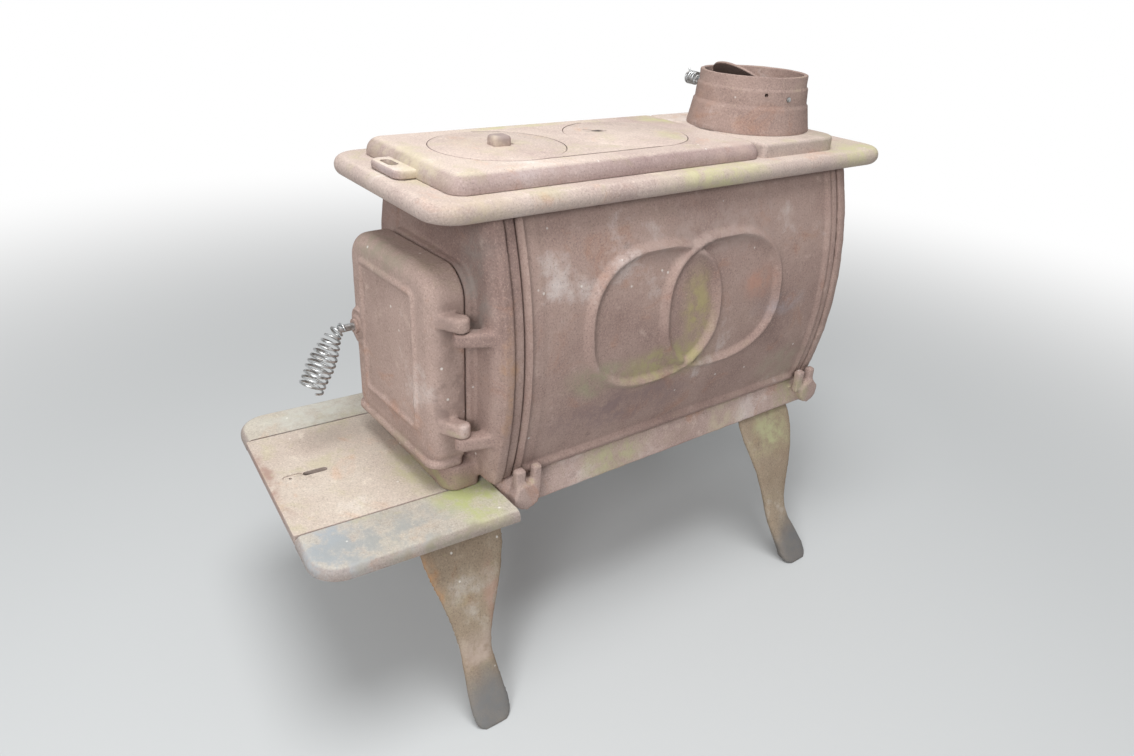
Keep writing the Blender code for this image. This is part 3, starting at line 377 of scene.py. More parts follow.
plate_line = corners_rounded(-plate_half, plate_half, -plate_reach, plate_reach, plate_corner)
plate = slab("top_plate_casting", plate_line, plate_top - plate_edge, plate_top, plate_edge * 0.49,
             plate_edge * 0.49, 9)
pad = slab("collar_pad", corners_rounded(-pad_half, pad_half, pad_front, pad_back, 0.006, 0.030),
           plate_top - 0.007, pad_top, 0, 0.004, 5)
recess_line = corners_rounded(-plate_half + plate_wall, plate_half - plate_wall, -plate_reach + plate_wall,
                              plate_reach - plate_wall, plate_corner - plate_wall)
recess = slab("plate_recess", recess_line, plate_top - plate_edge - 0.01, plate_top - plate_web)
well_line = corners_rounded(-pad_half + plate_web, pad_half - plate_web, pad_front + plate_web,
                            pad_back - plate_web, 0.003, 0.022)
pad_well = slab("pad_well", well_line, plate_top - plate_edge, pad_top - plate_web)
fire_hole = slab("fire_hole", pill(0, *lid_places, lid_radius - lid_ledge, 40), 0.55, 0.62)
flue_hole = bar("flue_hole", (0, flue_y, 0.55), (0, flue_y, 0.65), 0.063, 80)
hooks = []
for y in (-0.258, 0.2555):
    for side in (-1, 1):
        x = side * 0.1193
        hooks.append(block(f"plate_hook_{y}_{side}", (x - 0.0035, y - 0.006, 0.572),
                           (x + 0.0035, y + 0.006, 0.590), 0.001))
plate = shaped(plate, (pad, *hooks), (recess, pad_well, fire_hole, flue_hole))
settle(plate, "stove", ["top_plate"], top_rust)

# Swing top: the raised cooking plate over the fire, an iron casting with a deep round shoulder.
# It turns on a pin in its left back corner and has a finger loop in front.
swing_low, swing_high = 0.6023, 0.6217
swing_half = 0.1095
swing_front, swing_back = -0.3145, 0.118
swing = slab("swing_top_casting", corners_rounded(-swing_half, swing_half, swing_front, swing_back, 0.0192),
             swing_low, swing_high, 0.001, 0.0160, 9)
loop = slab("finger_loop", corners_rounded(-0.040, 0.030, swing_front - 0.022, swing_front + 0.012, 0.011),
            swing_low + 0.0005, swing_low + 0.0095, 0.002, 0.0035, 5)
hole_line = corners_rounded(-0.026, 0.002, swing_front - 0.016, swing_front - 0.004, 0.0055)
loop_hole = slab("finger_hole", hole_line, swing_low - 0.01, swing_low + 0.02)
lid_seat = slab("lid_seat", pill(0, *lid_places, lid_radius + 0.0008, 40), 0.6137, 0.64)
lid_hole = slab("lid_hole", pill(0, *lid_places, lid_radius - lid_ledge, 40), 0.59, 0.64)
pivot = bar("pivot_pin", (-0.0903, 0.0988, 0.588), (-0.0903, 0.0988, 0.606), 0.006)
swing = shaped(swing, (loop, pivot), (loop_hole, lid_seat, lid_hole))
# The swing top's deep shoulder and sides get painted shade through edges.
swing_rust_and_shade = rust("swing_top_rust", tuple(tuple(c * 1.06 for c in t) for t in pale_tones), 0.3, (
    ((0.0, -0.31, 0.612), (0.12, 0.03, 0.03), (0.56, 0.50, 0.34), 0.6),
    ((0.10, 0.07, 0.612), (0.02, 0.10, 0.02), (0.46, 0.34, 0.30), 0.6),
    ((-0.07, 0.10, 0.622), (0.05, 0.05, 0.02), lichen_green, 0.9),
    ((-0.09, -0.12, 0.622), (0.03, 0.10, 0.02), lichen_green, 0.7)), flecks=0.8, seed=3.0, edges=0.85)
settle(swing, "swing", ["swing_top"], swing_rust_and_shade)

# The two lids: round iron discs that lie in the swing top. The front one has a raised socket for the
# lid lifter, the rear one a slot for it.
lid_low, lid_high = 0.6140, 0.6223


def turned(name, profile, x, y, steps=120):
    """A closed profile of (radius, height) turned about an upright axis."""
    bm = bmesh.new()
    ring = [bm.verts.new((r, 0, z)) for r, z in profile]
    edges = [bm.edges.new((a, b)) for a, b in zip(ring, ring[1:] + ring[:1])
             if a.co.x > 1e-9 or b.co.x > 1e-9]
    bmesh.ops.spin(bm, geom=ring + edges, cent=(0, 0, 0), axis=(0, 0, 1), angle=2 * math.pi, steps=steps,
                   use_merge=True)
    bmesh.ops.remove_doubles(bm, verts=bm.verts, dist=0.00002)
    solid = solid_from(name, bm)
    solid.data.transform(Matrix.Translation((x, y, 0)))
    return solid


# The lids' rims and sides get painted shade through edges.
lid_rust_and_shade = rust("lid_rust_and_shade", tuple(tuple(c * 1.05 for c in t) for t in pale_tones), 0.28, (
    ((0.0, -0.22, 0.622), (0.07, 0.05, 0.02), (0.58, 0.50, 0.38), 0.5),
    ((0.03, 0.03, 0.622), (0.05, 0.03, 0.02), lichen_green, 0.5),
    ((0.0, -0.198, 0.633), (0.022, 0.022, 0.013), (0.30, 0.24, 0.225), 0.97),
    # Painted shade: near black at the foot of the rear lid's lifter slits.
    ((-0.029, -0.0415, 0.6165), (0.022, 0.022, 0.0046), (0.05, 0.04, 0.04), 0.98)),
    flecks=0.7, seed=6.0, edges=0.6)
lid_section = [(0, lid_high), (lid_radius - 0.0012, lid_high), (lid_radius - 0.0003, lid_high - 0.0004),
               (lid_radius, lid_high - 0.0013), (lid_radius, lid_low), (0, lid_low)]
front_lid = turned("front_lid_disc", lid_section, 0, lid_places[0])
socket = block("lifter_socket", (-0.010, lid_places[0] - 0.009, lid_high - 0.003),
               (0.010, lid_places[0] + 0.013, lid_high + 0.011), 0.0042)
mouth = block("lifter_mouth", (-0.0045, lid_places[0] + 0.006, lid_high - 0.0015),
              (0.0045, lid_places[0] + 0.02, lid_high + 0.006), 0.001)
settle(shaped(front_lid, (socket,), (mouth,)), "swing", ["front_lid"], lid_rust_and_shade)
rear_lid = turned("rear_lid_disc", lid_section, 0, lid_places[1])
slits = [block(f"lifter_slit_{k}", (-0.006, -0.0016, 0.6165), (0.006, 0.0016, 0.64), 0.0008)
         for k in range(2)]
for slit, (x, y) in zip(slits, ((-0.0345, -0.0485), (-0.0232, -0.0340))):
    slit.data.transform(Matrix.Translation((x, y, 0)) @ Matrix.Rotation(math.radians(70), 4, "Z"))
settle(shaped(rear_lid, (), slits), "swing", ["rear_lid"], lid_rust_and_shade)

# Key plate: the waisted iron bridge between the lids, with thin ledges below that carry their edges.
# It lies loose in the swing top and lifts out with the lids.
waist_y = sum(lid_places) / 2
key = slab("key_bridge", corners_rounded(-lid_radius, lid_radius, *lid_places, 0.0005, None, 1), lid_low,
           lid_high)
key_arcs = [bar(f"key_arc_{k}", (0, y, 0.60), (0, y, 0.63), lid_radius + 0.0007, 120)
            for k, y in enumerate(lid_places)]
key = shaped(key, (), key_arcs)
under_half = lid_radius - lid_ledge - 0.0006
ledge = slab("key_ledge", corners_rounded(-under_half, under_half, *lid_places, 0.0005, None, 1), 0.609,
             lid_low - 0.0003)
ledge_arcs = [bar(f"ledge_arc_{k}", (0, y, 0.60), (0, y, 0.63), lid_radius - lid_ledge, 120)
              for k, y in enumerate(lid_places)]
ledge = shaped(ledge, (), ledge_arcs)
neck = slab("key_neck", corners_rounded(-0.05, 0.05, waist_y - 0.010, waist_y + 0.010, 0.002), 0.610,
            lid_low + 0.002)
settle(shaped(key, (ledge, neck)), "swing", ["key_plate"], lid_rust_and_shade)

# Flue collar: a conical iron ring for the stove pipe, with a shallow step low down and a plain band
# at the rim. Small holes take the pipe's screws.
collar_top = 0.689
collar_foot = pad_top + 0.0003
rim, bore, foot = 0.0713, 0.0655, 0.0825
step_z = collar_foot + 0.032
band_z = collar_top - 0.016
outer = [(rim - 0.0015, collar_top), (rim - 0.0004, collar_top - 0.0004), (rim, collar_top - 0.0015),
         (rim + 0.0002, band_z + 0.002), (rim + 0.0007, band_z + 0.0012), (rim + 0.0022, band_z - 0.0006),
         (rim + 0.0025, band_z - 0.002), (rim + 0.0034, step_z + 0.004), (rim + 0.0036, step_z + 0.002),
         (rim + 0.0056, step_z - 0.0005), (rim + 0.0060, step_z - 0.003),
         (foot - 0.0006, collar_foot + 0.005), (foot, collar_foot + 0.003), (foot, collar_foot)]
inner = [(bore, collar_foot), (bore, collar_top - 0.001), (bore + 0.001, collar_top)]
collar = turned("flue_collar_ring", outer + inner, 0, flue_y, 120)
shaft_turn = math.radians(-8)
shaft_mid = Vector((0, flue_y, 0.663))
shaft_way = Vector((math.cos(shaft_turn), math.sin(shaft_turn), 0))
holes = [bar("shaft_holes", shaft_mid - shaft_way * 0.1, shaft_mid + shaft_way * 0.1, 0.0034, 20)]
for degrees, z, radius in ((-33, 0.668, 0.0024), (12, 0.672, 0.0012)):
    out = Vector((math.cos(math.radians(degrees)), math.sin(math.radians(degrees)), 0))
    middle = Vector((0, flue_y, z))
    holes.append(bar(f"pipe_screw_hole_{degrees}", middle + out * 0.055, middle + out * 0.1, radius, 16))
collar_tones = ((0.22, 0.155, 0.137), (0.29, 0.208, 0.182), (0.35, 0.255, 0.222), (0.39, 0.295, 0.255))
collar_rust = rust("collar_rust", collar_tones, 0.2, (
    ((-0.02, 0.12, 0.65), (0.04, 0.04, 0.04), (0.40, 0.24, 0.18), 0.5),), flecks=0.5, seed=9.0)
collar = shaped(collar, (), holes)
uneven(collar, 0.0003, 0.0, 9.0)
settle(collar, "stove", ["flue_collar"], collar_rust)

# Damper: a thin iron disc in the collar on a plated wire shaft, whose outer end is wound into an
# open coil to stay cool. Disc and shaft turn together.
damper_tilt = math.radians(36.5)
disc = turned("damper_disc", [(0, 0.0015), (0.0612, 0.0015), (0.0620, 0.0008), (0.0620, -0.0008),
                              (0.0612, -0.0015), (0, -0.0015)], 0, 0, 96)
hub = bar("damper_hub", (-0.052, 0, 0), (0.052, 0, 0), 0.006, 24)
hub_bore = bar("damper_hub_bore", (-0.09, 0, 0), (0.09, 0, 0), 0.0033, 24)
disc = shaped(disc, (hub,), (hub_bore,))
shaft_place = Matrix.Translation(shaft_mid) @ Matrix.Rotation(shaft_turn, 4, "Z")
damper_place = shaft_place @ Matrix.Rotation(-damper_tilt, 4, "X")
disc.data.transform(damper_place)
settle(disc, "damper", ["damper_plate"], collar_rust)


def wire(name, points, radius, rounds=4):
    line = bpy.data.curves.new(name, "CURVE")
    line.dimensions = "3D"
    line.bevel_depth = radius
    line.bevel_resolution = rounds
    line.use_fill_caps = True
    run = line.splines.new("POLY")
    run.points.add(len(points) - 1)
    for point, co in zip(run.points, points):
        point.co = (*co, 1)
    made = bpy.data.objects.new(name, line)
    bpy.context.scene.collection.objects.link(made)
    return plain(made)


def together(name, *solids):
    """One piece of several solids that touch, each kept whole."""
    bm = bmesh.new()
    for solid in solids:
        bm.from_mesh(solid.data)
        bpy.data.objects.remove(solid, do_unlink=True)
    return solid_from(name, bm)


def plated(name, dark=0.25):
    """Zinc-plated wire gone dull, with grey patches and a little rust."""
    mat = bpy.data.materials.new(name)
    mat.use_nodes = True
    tree = mat.node_tree
    shader = tree.nodes["Principled BSDF"]
    shader.inputs["Metallic"].default_value = 0.85
    where = tree.nodes.new("ShaderNodeTexCoord")
    patch = tree.nodes.new("ShaderNodeTexNoise")
    patch.inputs["Scale"].default_value = 160.0
    patch.inputs["Detail"].default_value = 5.0
    tree.links.new(where.outputs["Object"], patch.inputs["Vector"])
    tint = tree.nodes.new("ShaderNodeValToRGB")
    tint.color_ramp.elements[0].position = 0.35
    tint.color_ramp.elements[0].color = (dark, dark * 0.95, dark * 0.9, 1)
    tint.color_ramp.elements[1].position = 0.6
    tint.color_ramp.elements[1].color = (0.60, 0.62, 0.63, 1)
    tree.links.new(patch.outputs["Fac"], tint.inputs[0])
    tree.links.new(tint.outputs[0], shader.inputs["Base Color"])
    dull = tree.nodes.new("ShaderNodeMapRange")
    dull.inputs["To Min"].default_value = 0.5
    dull.inputs["To Max"].default_value = 0.28
    tree.links.new(patch.outputs["Fac"], dull.inputs["Value"])
    tree.links.new(dull.outputs[0], shader.inputs["Roughness"])
    bump = tree.nodes.new("ShaderNodeBump")
    bump.inputs["Strength"].default_value = 0.25
    bump.inputs["Distance"].default_value = 0.0003
    tree.links.new(patch.outputs["Fac"], bump.inputs["Height"])
    tree.links.new(bump.outputs[0], shader.inputs["Normal"])
    return mat


zinc = plated("zinc_wire")
coil_start = -foot - 0.042
coil_steps = 20
shaft = bar("damper_wire_shaft", (rim + 0.004, 0, 0), (coil_start + 0.004, 0, 0), 0.003, 20)
coil = []
for k in range(5 * coil_steps + 1):
    turn = 2 * math.pi * k / coil_steps
    radius = 0.0030 + 0.0050 * min(1, k / coil_steps)
    coil.append((coil_start + 0.006 - 0.0052 * k / coil_steps, radius * math.cos(turn),
                 radius * math.sin(turn)))
last = Vector(coil[-1])
coil += [tuple(last + Vector((-0.006, 0, 0.004))), tuple(last + Vector((-0.012, 0, 0.010)))]
shaft = together("damper_wire", shaft, wire("damper_coil", coil, 0.0015))
shaft.data.transform(shaft_place)
settle(shaft, "damper", ["damper_shaft"], zinc)

# Front casting: the bowed end plate of the body, cast with a deep rim round the fire opening, a sill
# below it and two arms that carry the door's pins.
body_low, body_high = 0.2683, 0.5937
front_joint, back_joint = -0.266, 0.262
iron_tones = ((0.222, 0.150, 0.132), (0.295, 0.206, 0.180), (0.345, 0.249, 0.216), (0.400, 0.302, 0.262))


def bow(z):
    """Half width of the bowed body at a height."""
    return 0.147 - 0.027 * ((z - 0.415) / 0.160) ** 2


def bowed_bar(name, y0, y1, low, high, inside, outside, steps=40):
    """An upright bar from y0 to y1 that follows the bow."""
    bm = bmesh.new()
    rows = []
    for k in range(steps + 1):
        z = low + (high - low) * k / steps
        rows.append([bm.verts.new(p) for p in ((bow(z) + inside, y0, z), (bow(z) + outside, y0, z),
                                               (bow(z) + outside, y1, z), (bow(z) + inside, y1, z))])
    for lower, upper in zip(rows, rows[1:]):
        for k in range(4):
            n = (k + 1) % 4
            bm.faces.new((lower[k], lower[n], upper[n], upper[k]))
    bm.faces.new(rows[0][::-1])
    bm.faces.new(rows[-1])
    return solid_from(name, bm)


def other_side(solid, name):
    bm = bmesh.new()
    bm.from_mesh(solid.data)
    bm.transform(Matrix.Diagonal((-1, 1, 1, 1)))
    bmesh.ops.reverse_faces(bm, faces=bm.faces)
    return solid_from(name, bm)


def from_node(node, name):
    """A working copy of a rough solid, in the maker's own place along the stove."""
    bm = bmesh.new()
    bm.from_mesh(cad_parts[node].data)
    bmesh.ops.remove_doubles(bm, verts=bm.verts, dist=0.00001)
    bm.transform(Matrix.Translation((0, -stove_y, 0)))
    return solid_from(name, bm)


body_rust = rust("body_rust", iron_tones, 0.12, (
    ((0.15, -0.272, 0.41), (0.02, 0.012, 0.10), (0.42, 0.24, 0.12), 0.5),
    ((0.06, -0.33, 0.27), (0.10, 0.05, 0.02), (0.32, 0.30, 0.16), 0.8),
    ((0.10, -0.29, 0.50), (0.04, 0.03, 0.10), (0.25, 0.22, 0.20), 0.7)), flecks=0.6, seed=12.0)
front = from_node("front_casting", "front_end_casting")
rib = bowed_bar("joint_rib", -0.2800, -0.2672, body_low + 0.002, body_high - 0.002, -0.006, 0.0036)
left_rib = other_side(rib, "left_joint_rib")
pocket = bowed_bar("arm_pocket", -0.300, -0.2808, 0.3440, 0.4470, -0.0050, 0.012)
front = shaped(front, (rib, left_rib), (pocket,))
front = recast(front, 0.0021, 4)
uneven(front, 0.0004, 0.00015, 12.0)
settle(front, "stove", ["front_casting"], body_rust, 0)

# Back casting: the plain bowed iron plate that closes the rear end. Like the front one it stands on
# the bottom plate, and the side panels end against it.
back = recast(from_node("back_casting", "rear_end_casting"), 0.0035, 3)
uneven(back, 0.0005, 0.0002, 15.0)
settle(back, "stove", ["back_casting"], body_rust, 0)

# Side panels: bowed iron castings with a bead at each end, a hem along the foot and two linked rings
# raised on the field.
ring_radii = (0.099, 0.083)
ring_mid_z = 0.440
ring_ys = (-0.066, 0.046)
panel_front, panel_back = -0.2494, 0.2484
field_sink = 0.003
panel_thick = 0.006


def bump_up(distance, half, height):
    """A round ridge: its height at a distance from its middle line."""
    return height * (0.5 + 0.5 * math.cos(math.pi * min(1, abs(distance) / half)))


def ring_distance(y, z, ring_y):
    """Rough distance from a point on the panel to a ring's middle line."""
    a, b = (y - ring_y) / ring_radii[0], (z - ring_mid_z) / ring_radii[1]
    power = 2.44
    size = (abs(a) ** power + abs(b) ** power) ** (1 / power)
    if size < 0.2:
        return 1.0
    reach = math.hypot(y - ring_y, z - ring_mid_z)
    return (size - 1) * reach / size


def relief(y, z, seed):
    """How far the panel's face stands off its field."""
    rise = 0.0
    ridges = []
    for ring_y in ring_ys:
        ridges.append(bump_up(ring_distance(y, z, ring_y), 0.0092, 0.0074))
    first, second = ridges
    upper = z > ring_mid_z
    if first > 0.0006 and second > 0.0006:
        rise += max(first + (0.0009 if not upper else -0.0009), second + (0.0009 if upper else -0.0009))
    else:
        rise += max(first, second)
    front_edge, back_edge = y - panel_front, panel_back - y
    rise += 0.0040 * bump_up(min(0.0, front_edge - 0.004) + max(0.0, front_edge - 0.0055), 0.0045, 1.0)
    rise += 0.0007 if 0.0095 <= front_edge < 0.0250 else 0
    rise += 0.0040 * bump_up(min(0.0, back_edge - 0.005) + max(0.0, back_edge - 0.0085), 0.0050, 1.0)
    above = z - body_low
    if 0.0085 < front_edge and 0.012 < back_edge:
        rise += 0.0062 * bump_up(min(0.0, above - 0.004) + max(0.0, above - 0.0085), 0.0060, 1.0)
    point = Vector((seed, y, z))
    return rise + 0.0005 * noise.noise(point * 14) + 0.00025 * noise.noise(point * 60)


def panel(name, seed):
    rows, columns = 132, 196
    bm = bmesh.new()
    faces = []
    for inside in (False, True):
        grid = []
        for i in range(rows + 1):
            z = body_low + 0.0001 + (body_high - body_low - 0.0002) * i / rows
            line = []
            for j in range(columns + 1):
                y = panel_front + (panel_back - panel_front) * j / columns
                off = -field_sink - panel_thick if inside else -field_sink + relief(y, z, seed)
                if not inside and (j in (0, columns) or i in (0, rows)):
                    off -= 0.0006
                line.append(bm.verts.new((bow(z) + off, y, z)))
            grid.append(line)
        faces.append(grid)
    front_face, back_face = faces
    for grid, flip in ((front_face, False), (back_face, True)):
        for i in range(rows):
            for j in range(columns):
                quad = (grid[i][j], grid[i][j + 1], grid[i + 1][j + 1], grid[i + 1][j])
                bm.faces.new(quad[::-1] if flip else quad)
    edge = [(i, 0) for i in range(rows)] + [(rows, j) for j in range(columns)]
    edge += [(i, columns) for i in range(rows, 0, -1)] + [(0, j) for j in range(columns, 0, -1)]
    for (i, j), (m, n) in zip(edge, edge[1:] + edge[:1]):
        bm.faces.new((front_face[i][j], front_face[m][n], back_face[m][n], back_face[i][j]))
    return solid_from(name, bm)


panel_rust_and_shade = rust("panel_rust_and_shade", iron_tones, 0.10, (
    ((0.14, -0.045, 0.375), (0.04, 0.10, 0.035), (0.33, 0.30, 0.15), 0.85),
    ((0.14, 0.00, 0.43), (0.04, 0.035, 0.08), (0.36, 0.32, 0.14), 0.7),
    ((0.14, -0.15, 0.38), (0.04, 0.06, 0.03), (0.28, 0.28, 0.17), 0.6),
    ((0.14, 0.11, 0.45), (0.04, 0.04, 0.03), (0.42, 0.22, 0.16), 0.6),
    ((0.14, 0.04, 0.53), (0.04, 0.22, 0.05), (0.37, 0.29, 0.26), 0.6),
    # Painted shade: darker along the lower front of the panel.
    ((0.14, -0.10, 0.325), (0.04, 0.16, 0.035), (0.22, 0.155, 0.15), 0.85),
    ((0.14, 0.20, 0.31), (0.04, 0.07, 0.04), (0.30, 0.27, 0.20), 0.5),
    ((0.14, 0.16, 0.415), (0.04, 0.07, 0.02), (0.33, 0.29, 0.30), 0.6)), flecks=0.5, seed=18.0)
settle(panel("right_side_panel", 1.0), "stove", ["right_side"], panel_rust_and_shade, 50)
left_panel = other_side(panel("left_panel_blank", 8.0), "left_side_panel")
bpy.data.objects.remove(bpy.data.objects["left_panel_blank"], do_unlink=True)
settle(left_panel, "stove", ["left_side"], body_rust, 50)

# Corner strips: bowed iron bars, set back a little, that fill the joint between each panel and the
# end castings. The plates above and below hold them in.
for end, y0, y1 in (("front", -0.2646, -0.2516), ("back", 0.2502, 0.2608)):
    strip = bowed_bar(f"right_{end}_strip_bar", y0, y1, body_low, body_high, -0.012, -0.0022)
    soft = strip.modifiers.new("soft_edges", "BEVEL")
    soft.width = 0.0034
    soft.segments = 5
    soft.limit_method = "ANGLE"
    strip = plain(strip)
    left = other_side(strip, f"left_{end}_strip_bar")
    settle(strip, "stove", [f"right_{end}_strip"], body_rust)
    settle(left, "stove", [f"left_{end}_strip"], body_rust)

# Bottom plate: the casting that carries the body, with a flared skirt, a rounded ear at each corner,
# lugs that locate the panels, and a tongue in front for the hearth and the front legs.
bottom = recast(from_node("bottom_plate", "bottom_casting"), 0.0031, 3)
uneven(bottom, 0.0005, 0.0002, 21.0)
skirt_tones = ((0.30, 0.215, 0.19), (0.37, 0.27, 0.24), (0.43, 0.325, 0.29), (0.49, 0.39, 0.33))
skirt_rust = rust("skirt_rust", skirt_tones, 0.4, (
    ((0.14, -0.10, 0.25), (0.05, 0.08, 0.04), (0.40, 0.40, 0.22), 0.7),
    ((0.14, 0.10, 0.25), (0.05, 0.05, 0.04), (0.50, 0.44, 0.30), 0.5),
    ((0.14, 0.23, 0.25), (0.05, 0.04, 0.04), (0.36, 0.34, 0.20), 0.8)), flecks=0.9, seed=21.0)
settle(bottom, "stove", ["bottom_plate"], skirt_rust, 0)

# Hearth: the cast apron in front of the door, bolted to the bottom plate a little askew, with a tray
# in the middle for the draft slide.
hearth_back_y = -0.2725
hearth_place = Matrix.Translation((0, hearth_back_y, 0)) @ Matrix.Rotation(math.radians(-3.6), 4, "Z")
hearth_front = -0.491 - hearth_back_y
hearth_low, hearth_top = 0.2457, 0.2595
hearth_half = 0.1745
slide_left, slide_right = -0.113, 0.100
slide_low = hearth_top - 0.0072
slide_back = -0.294 - hearth_back_y
hearth = slab("hearth_apron", corners_rounded(-hearth_half, hearth_half, hearth_front, 0.030, 0.036, 0.010),
              hearth_low, hearth_top, 0.0008, 0.0085, 8)
tray = block("slide_tray", (slide_left, hearth_front - 0.02, slide_low - 0.0003),
             (slide_right, slide_back + 0.0006, 0.27))
lip_room = block("slide_lip_room", (slide_left, hearth_front - 0.02, 0.23),
                 (slide_right, hearth_front + 0.0066, 0.27))
air = [block(f"air_slot_{k}", (x0, slide_back - 0.034, 0.23), (x1, slide_back - 0.012, 0.27), 0.002)
       for k, (x0, x1) in enumerate(((-0.072, -0.024), (-0.012, 0.036)))]
wing_sides = ((-hearth_half + 0.010, slide_left - 0.006), (slide_right + 0.006, hearth_half - 0.010))
wings = [slab(f"wing_room_{k}", corners_rounded(x0, x1, hearth_front + 0.014, -0.012, 0.010), 0.23,
              hearth_top - 0.0098) for k, (x0, x1) in enumerate(wing_sides)]
hearth = shaped(hearth, (), (tray, lip_room, *air, *wings))
hearth.data.transform(hearth_place)
square_back = block("square_back", (-0.3, hearth_back_y, 0.2), (0.3, hearth_back_y + 0.1, 0.3))
hearth = shaped(hearth, (), (square_back,))
hearth_tones = ((0.36, 0.31, 0.26), (0.46, 0.41, 0.35), (0.51, 0.47, 0.40), (0.56, 0.53, 0.46))
# The apron's rims and sides get painted shade through edges.
hearth_rust = rust("hearth_rust", hearth_tones, 0.35, (
    ((0.125, -0.465, 0.26), (0.07, 0.055, 0.03), (0.33, 0.375, 0.42), 0.96),
    ((0.135, -0.41, 0.26), (0.06, 0.12, 0.02), (0.32, 0.325, 0.31), 0.93),
    ((0.12, -0.305, 0.26), (0.075, 0.055, 0.02), (0.42, 0.45, 0.20), 0.95),
    ((0.05, -0.345, 0.26), (0.06, 0.04, 0.02), (0.46, 0.44, 0.24), 0.7),
    ((-0.15, -0.38, 0.26), (0.05, 0.10, 0.02), (0.52, 0.52, 0.47), 0.8),
    # Painted shade: a darker band along the lower right side face of the apron.
    ((0.172, -0.37, 0.252), (0.016, 0.16, 0.014), (0.26, 0.235, 0.175), 0.95),
    ((-0.02, -0.485, 0.252), (0.10, 0.012, 0.012), (0.40, 0.27, 0.22), 0.8),
    # Painted shade: near black on the tray floor seen through the slide's lifter slot.
    ((-0.0203, -0.4346, 0.249), (0.016, 0.030, 0.005), (0.04, 0.035, 0.03), 0.98)),
    flecks=0.8, seed=24.0, edges=0.8)
settle(hearth, "stove", ["hearth"], hearth_rust)

# Draft slide: a cast tray lid with a turned-down lip, an oblong slot for the lifter and a round dimple.
# It runs in the hearth over the air slots.
slide_line = corners_rounded(slide_left + 0.0014, slide_right - 0.0024, hearth_front, slide_back, 0.003)
slide = slab("draft_slide_plate", slide_line, slide_low, hearth_top - 0.0002, 0.0004, 0.0012, 4)
slide_lip = block("slide_lip", (slide_left + 0.0016, hearth_front + 0.0002, 0.2461),
                  (slide_right - 0.0028, hearth_front + 0.006, slide_low + 0.003), 0.0015)
slot_x, slot_y = -0.010, hearth_front + 0.0555


finger_slot = slab("lifter_slot", pill(slot_x, slot_y - 0.0102, slot_y + 0.0102, 0.0040), 0.24, 0.27)
dimple_field = slab("dimple_field", pill(slot_x, slot_y - 0.0325, slot_y - 0.0195, 0.0052),
                    hearth_top - 0.0014, 0.27)
dimple = bar("dimple", (slot_x, slot_y - 0.029, slide_low + 0.002), (slot_x, slot_y - 0.029, 0.27),
             0.0018, 20)
slide = shaped(slide, (slide_lip,), (finger_slot, dimple_field, dimple))
slide.data.transform(hearth_place)
slide_tones = ((0.42, 0.34, 0.29), (0.50, 0.42, 0.36), (0.55, 0.48, 0.41), (0.59, 0.53, 0.45))
# The slide's rims and lip get painted shade through edges.
slide_rust_and_shade = rust("slide_rust_and_shade", slide_tones, 0.3, (
    ((0.04, -0.33, 0.26), (0.07, 0.05, 0.02), (0.47, 0.44, 0.27), 0.75),
    ((-0.03, -0.488, 0.255), (0.12, 0.012, 0.02), (0.36, 0.24, 0.20), 0.9),
    ((-0.0219, -0.4606, 0.259), (0.010, 0.013, 0.005), (0.24, 0.165, 0.135), 0.97),
    # Painted shade: near black on the walls of the lifter slot.
    ((-0.0203, -0.4346, 0.2535), (0.014, 0.026, 0.0055), (0.05, 0.04, 0.035), 0.98)),
    flecks=0.5, seed=27.0, edges=0.7)
settle(slide, "slide", ["draft_slide"], slide_rust_and_shade)

# Feed door: a deep cast dish with a raised frame on its face, a boss for the latch, a lip at its foot
# and two lugs whose pins drop into the arms. It hangs ajar.
hinge_x, hinge_y = 0.117, -0.313
door_turn = Matrix.Translation((hinge_x, hinge_y, 0)) @ Matrix.Rotation(math.radians(2.4), 4, "Z")
door_place = door_turn @ Matrix.Translation((-hinge_x, -hinge_y, 0))
door_half, door_left, door_low, door_high = 0.102, -0.090, 0.2935, 0.525
door_back, door_face = -0.2990, -0.3400
door_round, door_corner, door_wall = 0.0165, 0.034, 0.006
latch_x, latch_z = -0.072, 0.409


def upright(solid):
    """Stands a slab up, its height towards the front."""
    solid.data.transform(Matrix.Rotation(math.pi / 2, 4, "X"))
    return solid


def pill_between(x0, y0, x1, y1, radius, steps=14):
    heading = math.atan2(y1 - y0, x1 - x0)
    line = []
    for cx, cy, start in ((x1, y1, heading - math.pi / 2), (x0, y0, heading + math.pi / 2)):
        for k in range(steps + 1):
            turn = start + math.pi * k / steps
            line.append((cx + radius * math.cos(turn), cy + radius * math.sin(turn)))
    return line


door_line = corners_rounded(door_left, door_half, door_low, door_high, 0.021, door_corner)
door = upright(slab("feed_door_casting", door_line, -door_back, -door_face, 0.0, door_round, 10))
dish_line = corners_rounded(door_left + door_wall, door_half - door_wall, door_low + door_wall,
                            door_high - door_wall, 0.012, door_corner - door_wall)
dish = upright(slab("door_dish", dish_line, -door_back - 0.01, -door_face - door_wall, 0, 0.010, 4))
frame_face = upright(slab("door_frame", corners_rounded(-0.060, 0.068, 0.331, 0.498, 0.008),
                          -door_face - 0.002, -door_face + 0.0030, 0, 0.0022, 4))
frame_field = upright(slab("frame_field", corners_rounded(-0.0545, 0.0625, 0.3365, 0.4925, 0.005),
                           -door_face + 0.0002, -door_face + 0.01))
boss = bar("latch_boss", (latch_x, door_face + 0.008, latch_z), (latch_x, door_face - 0.0035, latch_z),
           0.0125, 40)
oval_x, oval_low, oval_high = latch_x + 0.002, latch_z - 0.006, latch_z + 0.006
oval = upright(slab("latch_oval", pill(oval_x, oval_low, oval_high, 0.0165), -door_face - 0.006,
                    -door_face + 0.0034, 0, 0.0022, 4))
